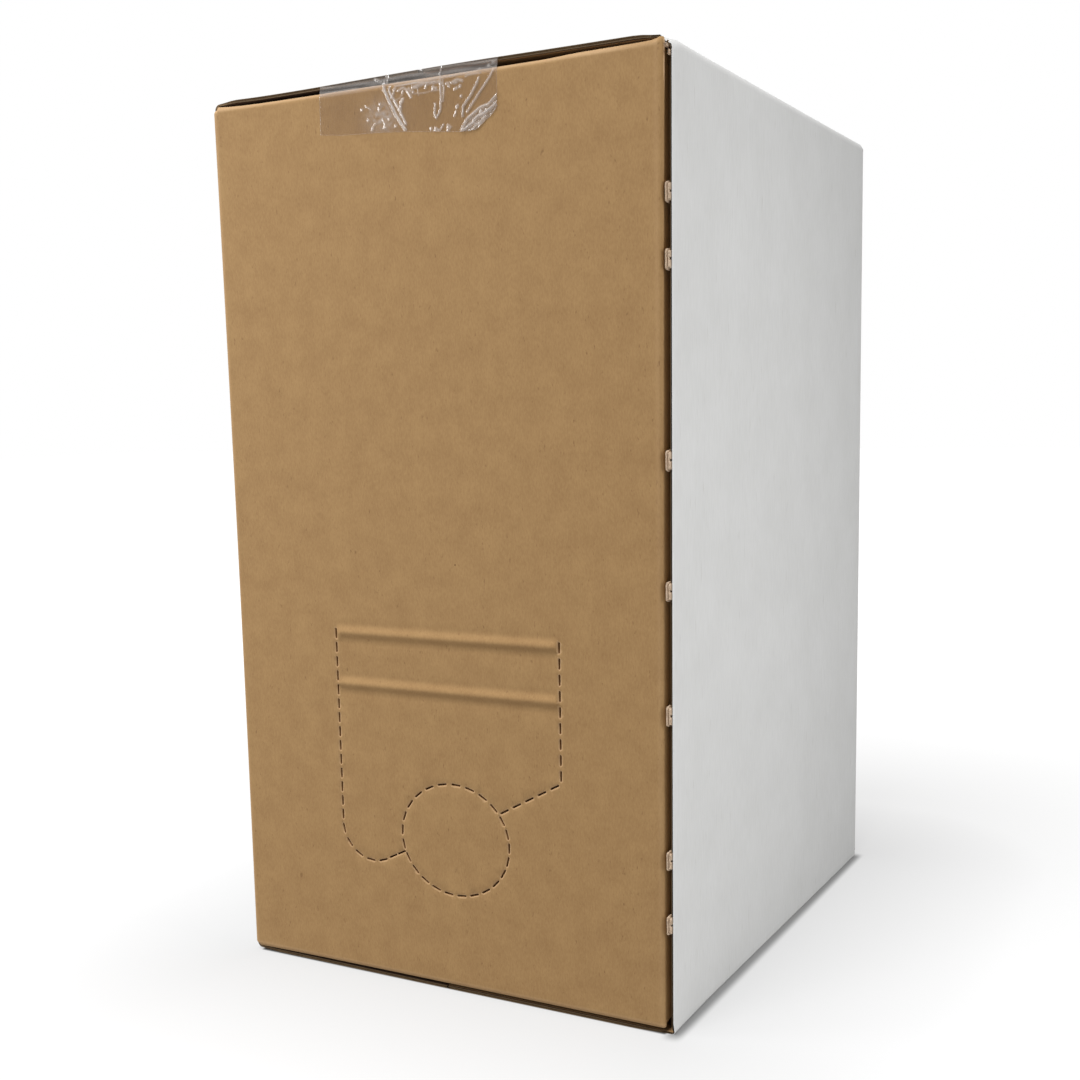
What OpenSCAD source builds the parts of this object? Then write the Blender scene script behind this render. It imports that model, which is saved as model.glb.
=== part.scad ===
// Bag-in-box: a tall corrugated carton, taped along its top seam, with a
// perforated tap door in its narrow front. A filled film bag with a push tap
// stands inside. Millimetres, Z up, origin under the middle of the carton.

/* [Carton] */
// Width of the front panel, over the side walls
carton_w = 120; // [105:1:160]
// Depth of the side walls, front face to back face
carton_d = 144; // [130:1:200]
// Height over the closed flaps
carton_h = 215; // [180:1:280]
// Thickness of the corrugated board
board_t = 1.2; // [1:0.1:1.5]
// Thickness of each flat liner sheet of the board
liner_t = 0.25; // [0.2:0.05:0.3]
// Outside radius of every fold
fold_r = 1.4; // [1.3:0.1:3]
// Air between a side flap and the end flap beneath it
flap_gap = 0.6; // [0.3:0.1:1]
// Air at the seam where the two side flaps meet
seam_gap = 1; // [0.4:0.1:2]
// Length of the end flaps, which fold in first
end_flap_l = 58; // [40:1:60]
// Width of the glue tab behind the right wall
glue_tab_w = 28; // [20:1:40]
// Slope cut off each end of the glue tab
glue_tab_slope = 5; // [2:0.5:8]
// How far each cut edge stays behind the folded face beside it
edge_setback = 0.7; // [0.5:0.1:1.2]
// How far the flutes lie open behind a cut edge
flute_depth = 2.5; // [1:0.5:4]

/* [Torn nicks] */
// Height of a nick in the front edge of the right wall
nick_h = 4.4; // [3:0.2:6]
// How far a nick's torn fibres stand out of that edge
nick_out = 0.5; // [0.3:0.1:0.7]
// How far they reach past the wall's inner face
nick_reach = 0.2; // [0.1:0.05:0.4]

/* [Tap door] */
// Distance from the left side of the carton to the left perforation
door_left = 30.9; // [20:0.1:35]
// Distance between the left and the right perforation
door_w = 61.9; // [50:0.1:70]
// Height of the upper hinge crease
door_top = 87; // [80:0.1:110]
// Distance from the upper crease to the lower one
crease_step = 12.7; // [8:0.1:20]
// Width of a crease on the outside
crease_w = 3.6; // [2.4:0.2:4]
// How far a crease stands out of the panel
crease_out = 0.6; // [0.3:0.1:0.8]
// Height of the corner where the right perforation turns in
door_notch_z = 55.3; // [50:0.1:62]
// Radius of the thumb lobe at the lower left
lobe_r = 9; // [6:0.5:10]
// Height of the lowest point of the thumb lobe
lobe_z = 30; // [26:0.5:36]
// Width of the oval hole for the spout
hole_w = 30; // [28:0.1:32]
// Height of the oval hole for the spout
hole_h = 27.4; // [26:0.1:32]
// Distance from the left side of the carton to the middle of the hole
hole_left = 63.7; // [58:0.1:66]
// Height of the middle of the hole
hole_z = 38.2; // [34:0.1:46]
// Distance from one perforation slot to the next
perf_pitch = 3.6; // [3:0.05:6]
// Length of a perforation slot
perf_l = 2.6; // [1.5:0.1:2.8]
// Width of a perforation slot
perf_w = 0.4; // [0.2:0.05:0.6]

/* [Tape] */
// Width of the sealing tape
tape_w = 48; // [25:1:60]
// Thickness of the tape
tape_t = 0.1; // [0.05:0.01:0.2]
// How far the tape lies off the middle, towards the left
tape_shift = 3.7; // [-6:0.1:10]
// Length of the tape on the front panel, at its left side
tape_front_l = 11.2; // [8:0.2:20]
// Further length of the tape where its slanting end is lowest
tape_slant = 3.3; // [0:0.1:8]
// Width of the torn corner of the tape
tape_tear = 5; // [2:0.5:10]
// Length of the tape on the back panel
tape_back_l = 38; // [20:1:60]

/* [Bag] */
// Air above the filled bag, under the end flaps
headspace = 9; // [4:1:30]
// Radius of the bag's rounded edges
bag_edge_r = 20; // [10:1:26]
// Air between the bag and the board
bag_clear = 0.3; // [0.2:0.1:1]
// Radius of the bag's dimple at the spout
dimple_r = 23.5; // [22.5:0.5:26]
// Radius of the dimple where it opens to the front
dimple_mouth_r = 30; // [28:0.5:33]

/* [Spout and tap] */
// Radius of the spout's weld flange
flange_r = 21; // [19:0.5:22]
// Thickness of the weld flange
flange_t = 1.2; // [0.8:0.1:2]
// Air between the spout's neck and the carton's hole, once pulled through
neck_clear = 0.8; // [0.4:0.1:1.5]
// Wall of the spout's neck
neck_wall = 2.2; // [1.6:0.1:3]
// Length of the spout, flange to lip
spout_l = 14; // [13:0.5:17]
// How far the two collars that grip the board stand out of the neck
collar_out = 2.4; // [1.5:0.1:3]
// Thickness of a collar
collar_t = 1.4; // [1:0.1:1.8]
// Play between the tap's barrel and the neck
barrel_clear = 0.1; // [0.05:0.05:0.2]
// Wall of the tap's mouldings
tap_wall = 1.6; // [1.2:0.1:2]
// Length of the tap's head in front of the spout
head_l = 19; // [17:0.5:22]
// Radius of the outlet tube
outlet_r = 6.5; // [5:0.5:7]
// Distance from the tap's axis to the open end of the outlet
outlet_drop = 21.5; // [18:0.5:22]
// Distance between the tips of the finger wings
wing_span = 43; // [36:1:44]
// Height of a finger wing
wing_h = 15; // [10:1:18]
// Height of the push button's dome
dome_h = 4.5; // [3:0.5:6]
// Air between the tap and the board in front of it
tap_clear = 0.9; // [0.5:0.1:3]

/* [Hidden] */
$fn = 64;
// Length that a cutting tool runs past the face it cuts
over = 0.5;

// Outside faces of the carton
right_x = carton_w / 2;
back_y = carton_d / 2;
// The front panel's fold stands beside the right wall, not under it
seam_x = right_x - board_t;
// Outer face of an end flap, one board and one gap inside the side flaps
end_z = carton_h - board_t - flap_gap;
// Height at which the four upright folds end
upright_z = end_z - fold_r;
// Where the nicks stand, as shares of the wall's height
nick_places = [0.121, 0.190, 0.342, 0.469, 0.599, 0.792, 0.855];
// A nick is the part of a disc that its chord cuts off at the wall's face
nick_w = board_t + nick_reach;
nick_disc_r = (pow(nick_h / 2, 2) + pow(nick_w, 2)) / (2 * nick_w);

// Tap door, in the plane of the front panel
door_x0 = door_left - right_x;
door_x1 = door_x0 + door_w;
// The two upright lines of slots start at the upper crease's upper edge
door_line_top = door_top + crease_w / 2;
hole_x = hole_left - right_x;
hole_half = [hole_w, hole_h] / 2;
lobe_x = door_x0 + lobe_r;
lobe_mid_z = lobe_z + lobe_r;
full_turn = 360;
left_side = full_turn / 2;
// The thumb lobe turns this far from its left side, then runs straight on
lobe_turn = 120;
// Where the two lines of the door meet the hole
hole_join_left = 199;
hole_join_right = 35;
// A crease is a ridge with one wall thickness all round its section
crease_ridge_r = (pow(crease_w / 2, 2) + pow(crease_out, 2)) / (2 * crease_out);
crease_axis_y = -back_y - crease_out + crease_ridge_r;

// Bag
bag_floor = carton_h - end_z + board_t + bag_clear;
bag_top = end_z - board_t - headspace;
bag_half_w = seam_x - board_t - bag_clear;
bag_half_d = back_y - board_t - bag_clear;

// Spout and tap, along their axis, from the back of the weld flange
neck_r = min(hole_w, hole_h) / 2 - neck_clear;
bore_r = neck_r - neck_wall;
barrel_r = bore_r - barrel_clear;
stop_t = 1.6;
head_r = neck_r;
head_end = spout_l + head_l;
tap_front = head_end + dome_h;
tap_y = -back_y + board_t + tap_clear + tap_front;
outlet_at = spout_l + head_l / 2;
barrel_bore_r = barrel_r - tap_wall;
// The valve seat is a narrow ledge just behind the spout's lip
seat_w = 2;
seat_back = 2;
seat_t = 1.2;
seat_r = barrel_bore_r - seat_w;
seat_at = spout_l - seat_back;
disc_t = 1.6;
stem_r = 1.8;
rim_t = 1.8;

// A point of an oval in the front plane, and the way the oval runs there
function on_oval(centre, half, angle) = centre + [half[0] * cos(angle), half[1] * sin(angle)];
function oval_way(half, angle) = atan2(half[1] * cos(angle), -half[0] * sin(angle));

// A flat section in X and Z, drawn out along Y
module along_y(y0, y1) {
    translate([0, y1, 0])
        rotate([90, 0, 0])
            linear_extrude(y1 - y0)
                children();
}

// A flat section in Y and Z, drawn out along X
module along_x(x0, x1) {
    translate([x0, 0, 0])
        rotate([90, 0, 90])
            linear_extrude(x1 - x0)
                children();
}

module left_and_right() {
    children();
    mirror([1, 0, 0])
        children();
}

module top_and_bottom() {
    children();
    translate([0, 0, carton_h])
        mirror([0, 0, 1])
            children();
}

// Quarter of a ring round its corner's middle: the section of a fold
module fold_section(outer, inner) {
    intersection() {
        difference() {
            circle(outer);
            circle(inner);
        }
        square(outer);
    }
}

module block(corner, opposite) {
    translate(corner)
        square(opposite - corner);
}

module rounded_block(corner, opposite, r) {
    union() {
        block(corner + [r, 0], opposite - [r, 0]);
        block(corner + [0, r], opposite - [0, r]);
        for (x = [corner[0] + r, opposite[0] - r], y = [corner[1] + r, opposite[1] - r])
            translate([x, y])
                circle(r);
    }
}

// Plan of the four walls. Three corners are folds; at the front right one the
// front panel folds behind the right wall, whose cut edge stays open.
module wall_plan() {
    inside = [right_x - board_t, back_y - board_t];
    difference() {
        rounded_block([-right_x, -back_y], [right_x, back_y], fold_r);
        rounded_block(-inside, inside, fold_r - board_t);
        block([seam_x - fold_r, -back_y - over], [right_x + over, -back_y + fold_r]);
    }
    translate([seam_x - fold_r, -back_y + fold_r])
        mirror([0, 1])
            fold_section(fold_r, fold_r - board_t);
    block([seam_x, -back_y + edge_setback], [right_x, -back_y + fold_r]);
}

module walls() {
    translate([0, 0, carton_h - upright_z])
        linear_extrude(2 * upright_z - carton_h)
            wall_plan();
}

module glue_tab() {
    low = carton_h - upright_z;
    root_y = -back_y + fold_r;
    tip_y = -back_y + glue_tab_w;
    along_x(seam_x - board_t, seam_x)
        polygon([
            [root_y, low],
            [tip_y, low + glue_tab_slope],
            [tip_y, upright_z - glue_tab_slope],
            [root_y, upright_z]
        ]);
}

// Section of the right side flap at the top: wall, fold and flap. With an
// inset it is the section of the flutes between the two liners.
module side_flap_section(inset, flap_end) {
    block([right_x - board_t + inset, upright_z], [right_x - inset, carton_h - fold_r]);
    translate([right_x - fold_r, carton_h - fold_r])
        fold_section(fold_r - inset, fold_r - board_t + inset);
    block([flap_end, carton_h - board_t + inset], [right_x - fold_r, carton_h - inset]);
}

module side_flap() {
    cut_y = back_y - edge_setback;
    open_y = cut_y - flute_depth;
    difference() {
        along_y(-cut_y, cut_y)
            side_flap_section(0, seam_gap / 2);
        for (y = [[-cut_y - over, -open_y], [open_y, cut_y + over]])
            along_y(y[0], y[1])
                side_flap_section(liner_t, seam_gap / 2 + flute_depth);
    }
}

// Section of the front end flap at the top, in Y and Z
module end_flap_section() {
    translate([-back_y + fold_r, upright_z])
        mirror([1, 0])
            fold_section(fold_r, fold_r - board_t);
    block([-back_y + fold_r, end_z - board_t], [-back_y + end_flap_l, end_z]);
}

module end_flaps() {
    along_x(-right_x + fold_r, seam_x - fold_r)
        end_flap_section();
    along_x(-right_x + fold_r, right_x - fold_r)
        mirror([1, 0])
            end_flap_section();
}

// The flutes lie open along the front edge of the right wall
module wall_edge_flutes() {
    cut_y = -back_y + edge_setback;
    translate([0, 0, carton_h - upright_z - over])
        linear_extrude(2 * upright_z - carton_h + 2 * over)
            block([seam_x + liner_t, cut_y - over], [right_x - liner_t, cut_y + flute_depth]);
}

// A nick: fibres torn out of the wall's front edge, round towards the seam
module nick() {
    cut_y = -back_y + edge_setback;
    along_y(cut_y - nick_out, cut_y + flute_depth)
        intersection() {
            translate([right_x - nick_w + nick_disc_r, 0])
                circle(nick_disc_r);
            block([right_x - nick_w, -nick_h], [right_x - liner_t / 2, nick_h]);
        }
}

module nicks() {
    for (place = nick_places)
        translate([0, 0, place * carton_h])
            nick();
}

module crease_section(r) {
    for (z = [door_top, door_top - crease_step])
        translate([crease_axis_y, z])
            circle(r);
}

module crease_ridges() {
    margin = perf_w;
    along_x(door_x0 + margin, door_x1 - margin)
        intersection() {
            crease_section(crease_ridge_r);
            block([-back_y - crease_out - over, 0], [-back_y + board_t / 2, carton_h]);
        }
}

module crease_hollows() {
    margin = perf_w;
    along_x(door_x0 + margin, door_x1 - margin)
        crease_section(crease_ridge_r - board_t);
}

// One slot of the perforation, through the front panel
module slot(point, angle) {
    translate([point[0], -back_y + board_t / 2, point[1]])
        rotate([0, -angle, 0])
            cube([perf_l, board_t + 2 * over, perf_w], center = true);
}

// Slots along a straight line, evenly spaced, with half a gap at each end
module slot_line(from, to) {
    way = to - from;
    count = round(norm(way) / perf_pitch);
    for (i = [0 : count - 1])
        slot(from + way * (i + 0.5) / count, atan2(way[1], way[0]));
}

module slot_arc(centre, half, start, turn) {
    count = round(abs(turn) / full_turn * PI * (half[0] + half[1]) / perf_pitch);
    for (i = [0 : count - 1]) {
        angle = start + turn * (i + 0.5) / count;
        slot(on_oval(centre, half, angle), oval_way(half, angle));
    }
}

module tap_door_slots() {
    hole = [hole_x, hole_z];
    lobe = [lobe_x, lobe_mid_z];
    lobe_half = [lobe_r, lobe_r];
    lobe_foot = on_oval(lobe, lobe_half, left_side + lobe_turn);
    upper_turn = hole_join_left - hole_join_right;
    slot_line([door_x0, door_line_top], [door_x0, lobe_mid_z]);
    slot_arc(lobe, lobe_half, left_side, lobe_turn);
    slot_line(lobe_foot, on_oval(hole, hole_half, hole_join_left));
    slot_arc(hole, hole_half, hole_join_right, upper_turn);
    slot_arc(hole, hole_half, hole_join_left, full_turn - upper_turn);
    slot_line([door_x1, door_line_top], [door_x1, door_notch_z]);
    slot_line([door_x1, door_notch_z], on_oval(hole, hole_half, hole_join_right));
}

module carton() {
    color("burlywood")
        difference() {
            union() {
                difference() {
                    walls();
                    wall_edge_flutes();
                }
                glue_tab();
                top_and_bottom() {
                    left_and_right()
                        side_flap();
                    end_flaps();
                }
                nicks();
                crease_ridges();
            }
            crease_hollows();
            tap_door_slots();
        }
}

// Front end of the tape: a slanting cut, its right corner torn away
module tape_front_end() {
    left_x = -tape_w / 2 - tape_shift;
    torn_x = left_x + tape_w;
    low_z = carton_h - tape_front_l - tape_slant;
    top_z = carton_h - edge_setback;
    along_y(-back_y - tape_t, -back_y)
        polygon([
            [left_x, top_z],
            [left_x, carton_h - tape_front_l],
            [torn_x - 2 * tape_tear, low_z],
            [torn_x - tape_tear, low_z],
            [torn_x, low_z + tape_tear],
            [torn_x, top_z]
        ]);
}

module sealing_tape() {
    left_x = -tape_w / 2 - tape_shift;
    top_z = carton_h - edge_setback;
    color("lightgray", 0.5)
        union() {
            tape_front_end();
            along_x(left_x, left_x + tape_w) {
                block([-back_y + edge_setback, carton_h], [back_y - edge_setback, carton_h + tape_t]);
                for (side = [0, 1])
                    mirror([side, 0])
                        translate([back_y - edge_setback, top_z])
                            fold_section(edge_setback + tape_t, edge_setback);
                block([back_y, carton_h - tape_back_l], [back_y + tape_t, top_z]);
            }
        }
}

// The bag is a plump block of film, pressed flat by the carton's walls, with a
// dimple in front where the tap is pushed back into it
module filled_bag() {
    half = [bag_half_w, bag_half_d];
    color("silver")
        difference() {
            intersection() {
                translate([0, 0, bag_floor])
                    linear_extrude(bag_top - bag_floor)
                        rounded_block(-half, half, bag_edge_r);
                along_y(-bag_half_d, bag_half_d)
                    rounded_block([-bag_half_w, bag_floor], [bag_half_w, bag_top], bag_edge_r);
                along_x(-bag_half_w, bag_half_w)
                    rounded_block([-bag_half_d, bag_floor], [bag_half_d, bag_top], bag_edge_r);
            }
            on_tap_axis()
                cylinder(h = tap_front + tap_clear + bag_clear, r1 = dimple_r, r2 = dimple_mouth_r);
        }
}

// Carries a piece from its own axis to the tap's axis, pointing to the front
module on_tap_axis() {
    translate([hole_x, tap_y, hole_z])
        rotate([90, 0, 0])
            children();
}

// A ring about the tap's axis
module ring(from, to, outer, inner) {
    translate([0, 0, from])
        rotate_extrude()
            block([inner, 0], [outer, to - from]);
}

module spout_gland() {
    grip_at = spout_l / 2 - collar_t - board_t;
    lip_at = grip_at + collar_t + board_t + 2 * neck_clear;
    color("whitesmoke")
        on_tap_axis()
            union() {
                ring(0, flange_t, flange_r, bore_r);
                ring(0, spout_l, neck_r, bore_r);
                ring(grip_at, grip_at + collar_t, neck_r + collar_out, bore_r);
                // The front collar slopes, so that the board snaps over it
                translate([0, 0, lip_at])
                    rotate_extrude()
                        polygon([
                            [bore_r, 0],
                            [neck_r + collar_out, 0],
                            [neck_r, 2 * collar_t],
                            [bore_r, 2 * collar_t]
                        ]);
            }
}

module finger_wings() {
    wing_r = wing_h / 2;
    translate([0, 0, spout_l + stop_t])
        linear_extrude(2 * tap_wall)
            rounded_block([-wing_span / 2, -wing_r], [wing_span / 2, wing_r], wing_r - over);
}

module outlet(r, from, to) {
    translate([0, -from, outlet_at])
        rotate([90, 0, 0])
            cylinder(h = to - from, r = r);
}

module tap_body() {
    color("white")
        on_tap_axis()
            difference() {
                union() {
                    translate([0, 0, flange_t])
                        cylinder(h = spout_l, r = barrel_r);
                    translate([0, 0, spout_l])
                        cylinder(h = stop_t, r = neck_r + collar_out);
                    translate([0, 0, spout_l])
                        cylinder(h = head_l, r = head_r);
                    finger_wings();
                    outlet(outlet_r, 0, outlet_drop);
                }
                translate([0, 0, flange_t - over])
                    cylinder(h = seat_at - flange_t + over, r = barrel_bore_r);
                translate([0, 0, flange_t])
                    cylinder(h = spout_l, r = seat_r);
                translate([0, 0, seat_at + seat_t])
                    cylinder(h = spout_l + stop_t - seat_at, r = barrel_bore_r);
                translate([0, 0, spout_l + stop_t])
                    cylinder(h = head_l, r = head_r - tap_wall);
                outlet(outlet_r - tap_wall, 0, outlet_drop + over);
            }
}

// The stem pulls its disc onto the seat from behind, and the button pushes it
module valve_stem() {
    disc_r = (seat_r + barrel_bore_r) / 2;
    color("gainsboro")
        on_tap_axis()
            union() {
                translate([0, 0, seat_at - disc_t])
                    cylinder(h = disc_t, r = disc_r);
                translate([0, 0, seat_at - over])
                    cylinder(h = head_end - rim_t - seat_at + over, r = stem_r);
            }
}

// An elastic dome that closes the head, seated in its rim
module push_button() {
    dome_base_r = head_r - tap_wall - barrel_clear;
    dome_r = (pow(dome_base_r, 2) + pow(dome_h, 2)) / (2 * dome_h);
    color("firebrick")
        on_tap_axis()
            union() {
                translate([0, 0, head_end - rim_t])
                    cylinder(h = rim_t, r = dome_base_r);
                intersection() {
                    translate([0, 0, head_end + dome_h - dome_r])
                        sphere(dome_r);
                    translate([0, 0, head_end])
                        cylinder(h = dome_h, r = dome_base_r);
                }
            }
}

carton();
sealing_tape();
filled_bag();
spout_gland();
tap_body();
valve_stem();
push_button();
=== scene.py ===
import math
import random

import bmesh
import bpy
import numpy as np
from mathutils import Matrix, Vector, noise
from mathutils.geometry import delaunay_2d_cdt


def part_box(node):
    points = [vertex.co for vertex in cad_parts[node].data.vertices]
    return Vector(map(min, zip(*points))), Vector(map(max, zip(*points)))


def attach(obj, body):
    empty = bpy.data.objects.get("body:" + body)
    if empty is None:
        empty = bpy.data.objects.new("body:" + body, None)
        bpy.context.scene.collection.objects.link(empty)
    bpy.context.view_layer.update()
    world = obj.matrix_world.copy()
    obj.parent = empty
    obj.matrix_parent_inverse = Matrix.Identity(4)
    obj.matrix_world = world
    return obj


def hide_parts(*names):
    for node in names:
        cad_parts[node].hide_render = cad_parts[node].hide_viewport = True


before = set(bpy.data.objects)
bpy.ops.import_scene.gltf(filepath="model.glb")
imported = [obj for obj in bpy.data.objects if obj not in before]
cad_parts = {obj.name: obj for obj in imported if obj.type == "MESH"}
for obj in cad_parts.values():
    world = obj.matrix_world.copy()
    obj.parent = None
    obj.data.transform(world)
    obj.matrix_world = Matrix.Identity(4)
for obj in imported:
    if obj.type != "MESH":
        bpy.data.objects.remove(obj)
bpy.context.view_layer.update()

# Carton. One die-cut sheet of fine-flute corrugated board, brown kraft in front
# and printed white on its sides. It is folded to a tube, glued at the front
# right corner, and its flaps are folded in at both ends.
MM = 0.001
box_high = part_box("carton")[1]
RIGHT_X = box_high.x
BACK_Y = box_high.y
TOP_Z = box_high.z
BOARD = 1.2 * MM
FLAP_BOARD = 0.7 * MM
LINER = 0.25 * MM
FOLD_R = 1.4 * MM
FLAP_GAP = 0.6 * MM
SEAM_GAP = 1 * MM
END_FLAP = 58 * MM
GLUE_TAB = 28 * MM
TAB_SLOPE = 5 * MM
SETBACK = 0.7 * MM
FLUTE_DEEP = 2.5 * MM
PRESSED_DEEP = 0.3 * MM
GLUE = 0.02 * MM
SEAM_X = RIGHT_X - BOARD - GLUE
END_Z = TOP_Z - BOARD + 0.4 * MM - FLAP_GAP
UPRIGHT_Z = END_Z - FOLD_R
CUT_Y = BACK_Y - SETBACK
PANEL_LEFT = -RIGHT_X + FOLD_R
PANEL_RIGHT = SEAM_X - 0.4 * MM - FOLD_R
WALL_FRONT = -BACK_Y + FOLD_R

# How far the folded board has settled out of its flat form
EDGE_BOW = 0.4 * MM
EDGE_FLARE = 0.3 * MM
EDGE_BEVEL = 0.18 * MM
SEAM_BULGE = 0.3 * MM
PANEL_WAVE = 0.12 * MM
LEFT_LEAN = 0.26 * MM
CORNER_DENT = 1.15 * MM
NICK_PRESS = 0.2 * MM
# Middles of the torn nicks, as shares of the carton's height
NICK_SHARES = (0.121, 0.190, 0.342, 0.469, 0.599, 0.792, 0.855)

# Material slots of the folded sheet
KRAFT, WHITE, INSIDE, CUT, PAINTED_SHADE, TORN, RAW, SLIT = range(8)

blank = bmesh.new()


def ramp(value, start, end):
    """Rises smoothly from 0 at start to 1 at end"""
    share = min(1, max(0, (value - start) / (end - start)))
    return share * share * (3 - 2 * share)


def wave(u, v, seed):
    """Slow unevenness of a panel, -1 to 1, over 40 mm or so"""
    return noise.noise((u / (40 * MM), v / (55 * MM), seed))


def lean(y, z):
    """How far the right wall leans out, from a lean of its front edge to one of its back edge"""
    share = max(0, z / TOP_Z)
    front = (0.72 * share ** 1.3 - 0.2) * MM
    back = (0.32 - 0.62 * share ** 1.5) * MM
    return front + (back - front) * ramp(y, -BACK_Y, BACK_Y)


def settled(p):
    """Where a point of the blank's plain folded form lies on the real, handled carton"""
    height = math.sin(math.pi * min(1, max(0, p.z / TOP_Z)))
    across_front = math.cos(math.pi / 2 * min(1, abs(p.x) / RIGHT_X))
    across_side = math.cos(math.pi / 2 * min(1, abs(p.y) / BACK_Y))
    on_front = ramp(-p.y, 66 * MM, 70 * MM)
    on_side = ramp(abs(p.x), 56 * MM, 58.5 * MM)
    on_end_flap = 1 - ramp(abs(p.x), 58.35 * MM, 58.65 * MM)
    on_left = ramp(-p.x, 20 * MM, 60 * MM)
    move = Vector((0, 0, 0))
    move.x += EDGE_BOW * height * on_left * ramp(-p.y, 0, 70 * MM)
    move.y += PANEL_WAVE * wave(p.x, p.z, 1) * across_front * height * on_front
    move.x += PANEL_WAVE * wave(p.y, p.z, 5) * across_side * height * on_side
    move.x += EDGE_FLARE * ramp(p.x, SEAM_X - 0.2 * MM, SEAM_X) * ramp(-p.y, 45 * MM, 71 * MM)
    move.x += lean(p.y, p.z) * ramp(p.x, 20 * MM, 57 * MM)
    move.x += LEFT_LEAN * (1 - p.z / (190 * MM)) * on_left
    # The glued front right fold is squarer at the top than lower down
    tall = max(0, p.z / TOP_Z)
    at_fold = ramp(p.x, 40 * MM, PANEL_RIGHT) * ramp(-p.y, 70.6 * MM, 71.9 * MM)
    at_fold *= p.x < SEAM_X - 0.1 * MM
    move.x += (tall ** 3 - 0.225 + 0.3 * math.exp(-p.z / (40 * MM))) * MM * at_fold
    # The top droops at its side creases, and the front crease stands up at its ends
    from_left = max(0, (RIGHT_X + p.x) / MM - 1.4)
    from_right = max(0, (RIGHT_X - 1.6 * MM - p.x) / MM - 1.4)
    droop = (0.05 * math.exp(-from_left / 4) + 0.3 * math.exp(-from_right / 4.5)) * MM
    lift = 0.72 * math.exp(-from_left / 6) + 0.34 * math.exp(-from_right / 14)
    lift = (lift + 0.5 * math.exp(-from_right / 0.9)) * MM
    over_end_flap = ramp(p.z, END_Z + 0.05 * MM, END_Z + FLAP_GAP)
    behind_crease = ramp(p.y, -71.3 * MM, -70.5 * MM)
    top = ramp(p.z, 205 * MM, END_Z)
    share = over_end_flap + (1 - over_end_flap) * (0.65 * behind_crease)
    move.z -= droop * (share * on_end_flap + 1 - on_end_flap) * top
    move.z += lift * ramp(p.z, 195 * MM, 211 * MM) * (1 - behind_crease) * on_end_flap
    # The right side flap's front corner is dented down, so that its white outside shows
    dent = ramp(p.x, 57.2 * MM, 58.6 * MM) * ramp(-p.y, 67.5 * MM, 70.8 * MM)
    dent *= ramp(p.z, 209.5 * MM, 213 * MM)
    dent *= p.x > SEAM_X + GLUE / 2 or p.z > END_Z + 0.3 * MM
    move.z -= CORNER_DENT * dent
    # The tape pulls the left flap and the crease down
    flap_dip = 0.36 * (1 - ramp(p.x, -35 * MM, 20 * MM))
    crease_dip = 0.3 * (1 - ramp(p.x, 30 * MM, 40 * MM))
    move.z -= (flap_dip * over_end_flap + crease_dip * (1 - over_end_flap)) * MM * top
    # At the bottom the crease hangs lower, and the side flap's left front edge is bent up
    under = ramp(TOP_Z - p.z, END_Z + 0.05 * MM, END_Z + FLAP_GAP)
    bottom = 1 - ramp(p.z, 1.5 * MM, 12 * MM)
    hang = (0.13 + 0.3 * math.exp(-from_left / 14)) * MM
    move.z -= hang * bottom * (1 - under) * (1 - behind_crease) * on_end_flap
    move.z += 0.26 * MM * (1 - ramp(p.x, -60 * MM, 10 * MM)) * under * ramp(-p.y, 50 * MM, 71 * MM)
    # The open edge is pressed thin: its inner liner lies further out and deeper than the outer one
    pressed = ramp(-p.y, 69.4 * MM, CUT_Y) * (p.x > SEAM_X + GLUE / 2)
    move.x += 0.45 * pressed * max(0, RIGHT_X - p.x)
    move.x -= EDGE_BEVEL * ramp(-p.y, CUT_Y - 0.5 * MM, CUT_Y) * (p.x > RIGHT_X - 0.1 * MM)
    move.y += 0.25 * pressed * max(0, RIGHT_X - p.x)
    move.z += SEAM_BULGE * across_front ** 2 * over_end_flap * on_end_flap
    # The fold is pressed in beside each nick
    if PANEL_RIGHT < p.x < SEAM_X:
        pressed = max(math.exp(-((p.z / TOP_Z - n) * TOP_Z / (2.5 * MM)) ** 4) for n in NICK_SHARES)
        move.x -= NICK_PRESS * pressed * ramp(p.x, PANEL_RIGHT, SEAM_X)
    return p + move


def grid(lines, stuff):
    """Quads of one material between lines of points. Points that coincide are welded later."""
    rows = [[blank.verts.new(p) for p in line] for line in lines]
    for i in range(len(rows) - 1):
        for j in range(len(rows[i]) - 1):
            quad = (rows[i][j], rows[i + 1][j], rows[i + 1][j + 1], rows[i][j + 1])
            face = blank.faces.new(quad)
            face.material_index = stuff(i, j) if callable(stuff) else stuff


def flat_run(start, end, outward, step, thickness=lambda far: BOARD):
    """Samples along a flat stretch of a section: position, outward direction, thickness"""
    start, end = Vector(start), Vector(end)
    length = (end - start).length
    count = max(1, round(length / step))
    return [(start.lerp(end, i / count), Vector(outward), thickness(length * i / count))
            for i in range(count + 1)]


FOLD_STEPS = 8
CRUSH = 0.45
PAST_END = 99


def crushed(share):
    """Thickness of the board round a fold, which the crease has crushed half way round"""
    return BOARD * (1 - CRUSH * math.sin(math.pi * share))


def fold_run(centre, first, turn, radius=FOLD_R, thickness=crushed):
    """Samples round a fold, from a first angle through a turn, both in degrees"""
    samples = []
    for i in range(FOLD_STEPS + 1):
        angle = math.radians(first + turn * i / FOLD_STEPS)
        outward = Vector((math.cos(angle), math.sin(angle)))
        samples.append((Vector(centre) + radius * outward, outward, thickness(i / FOLD_STEPS)))
    return samples


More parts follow.
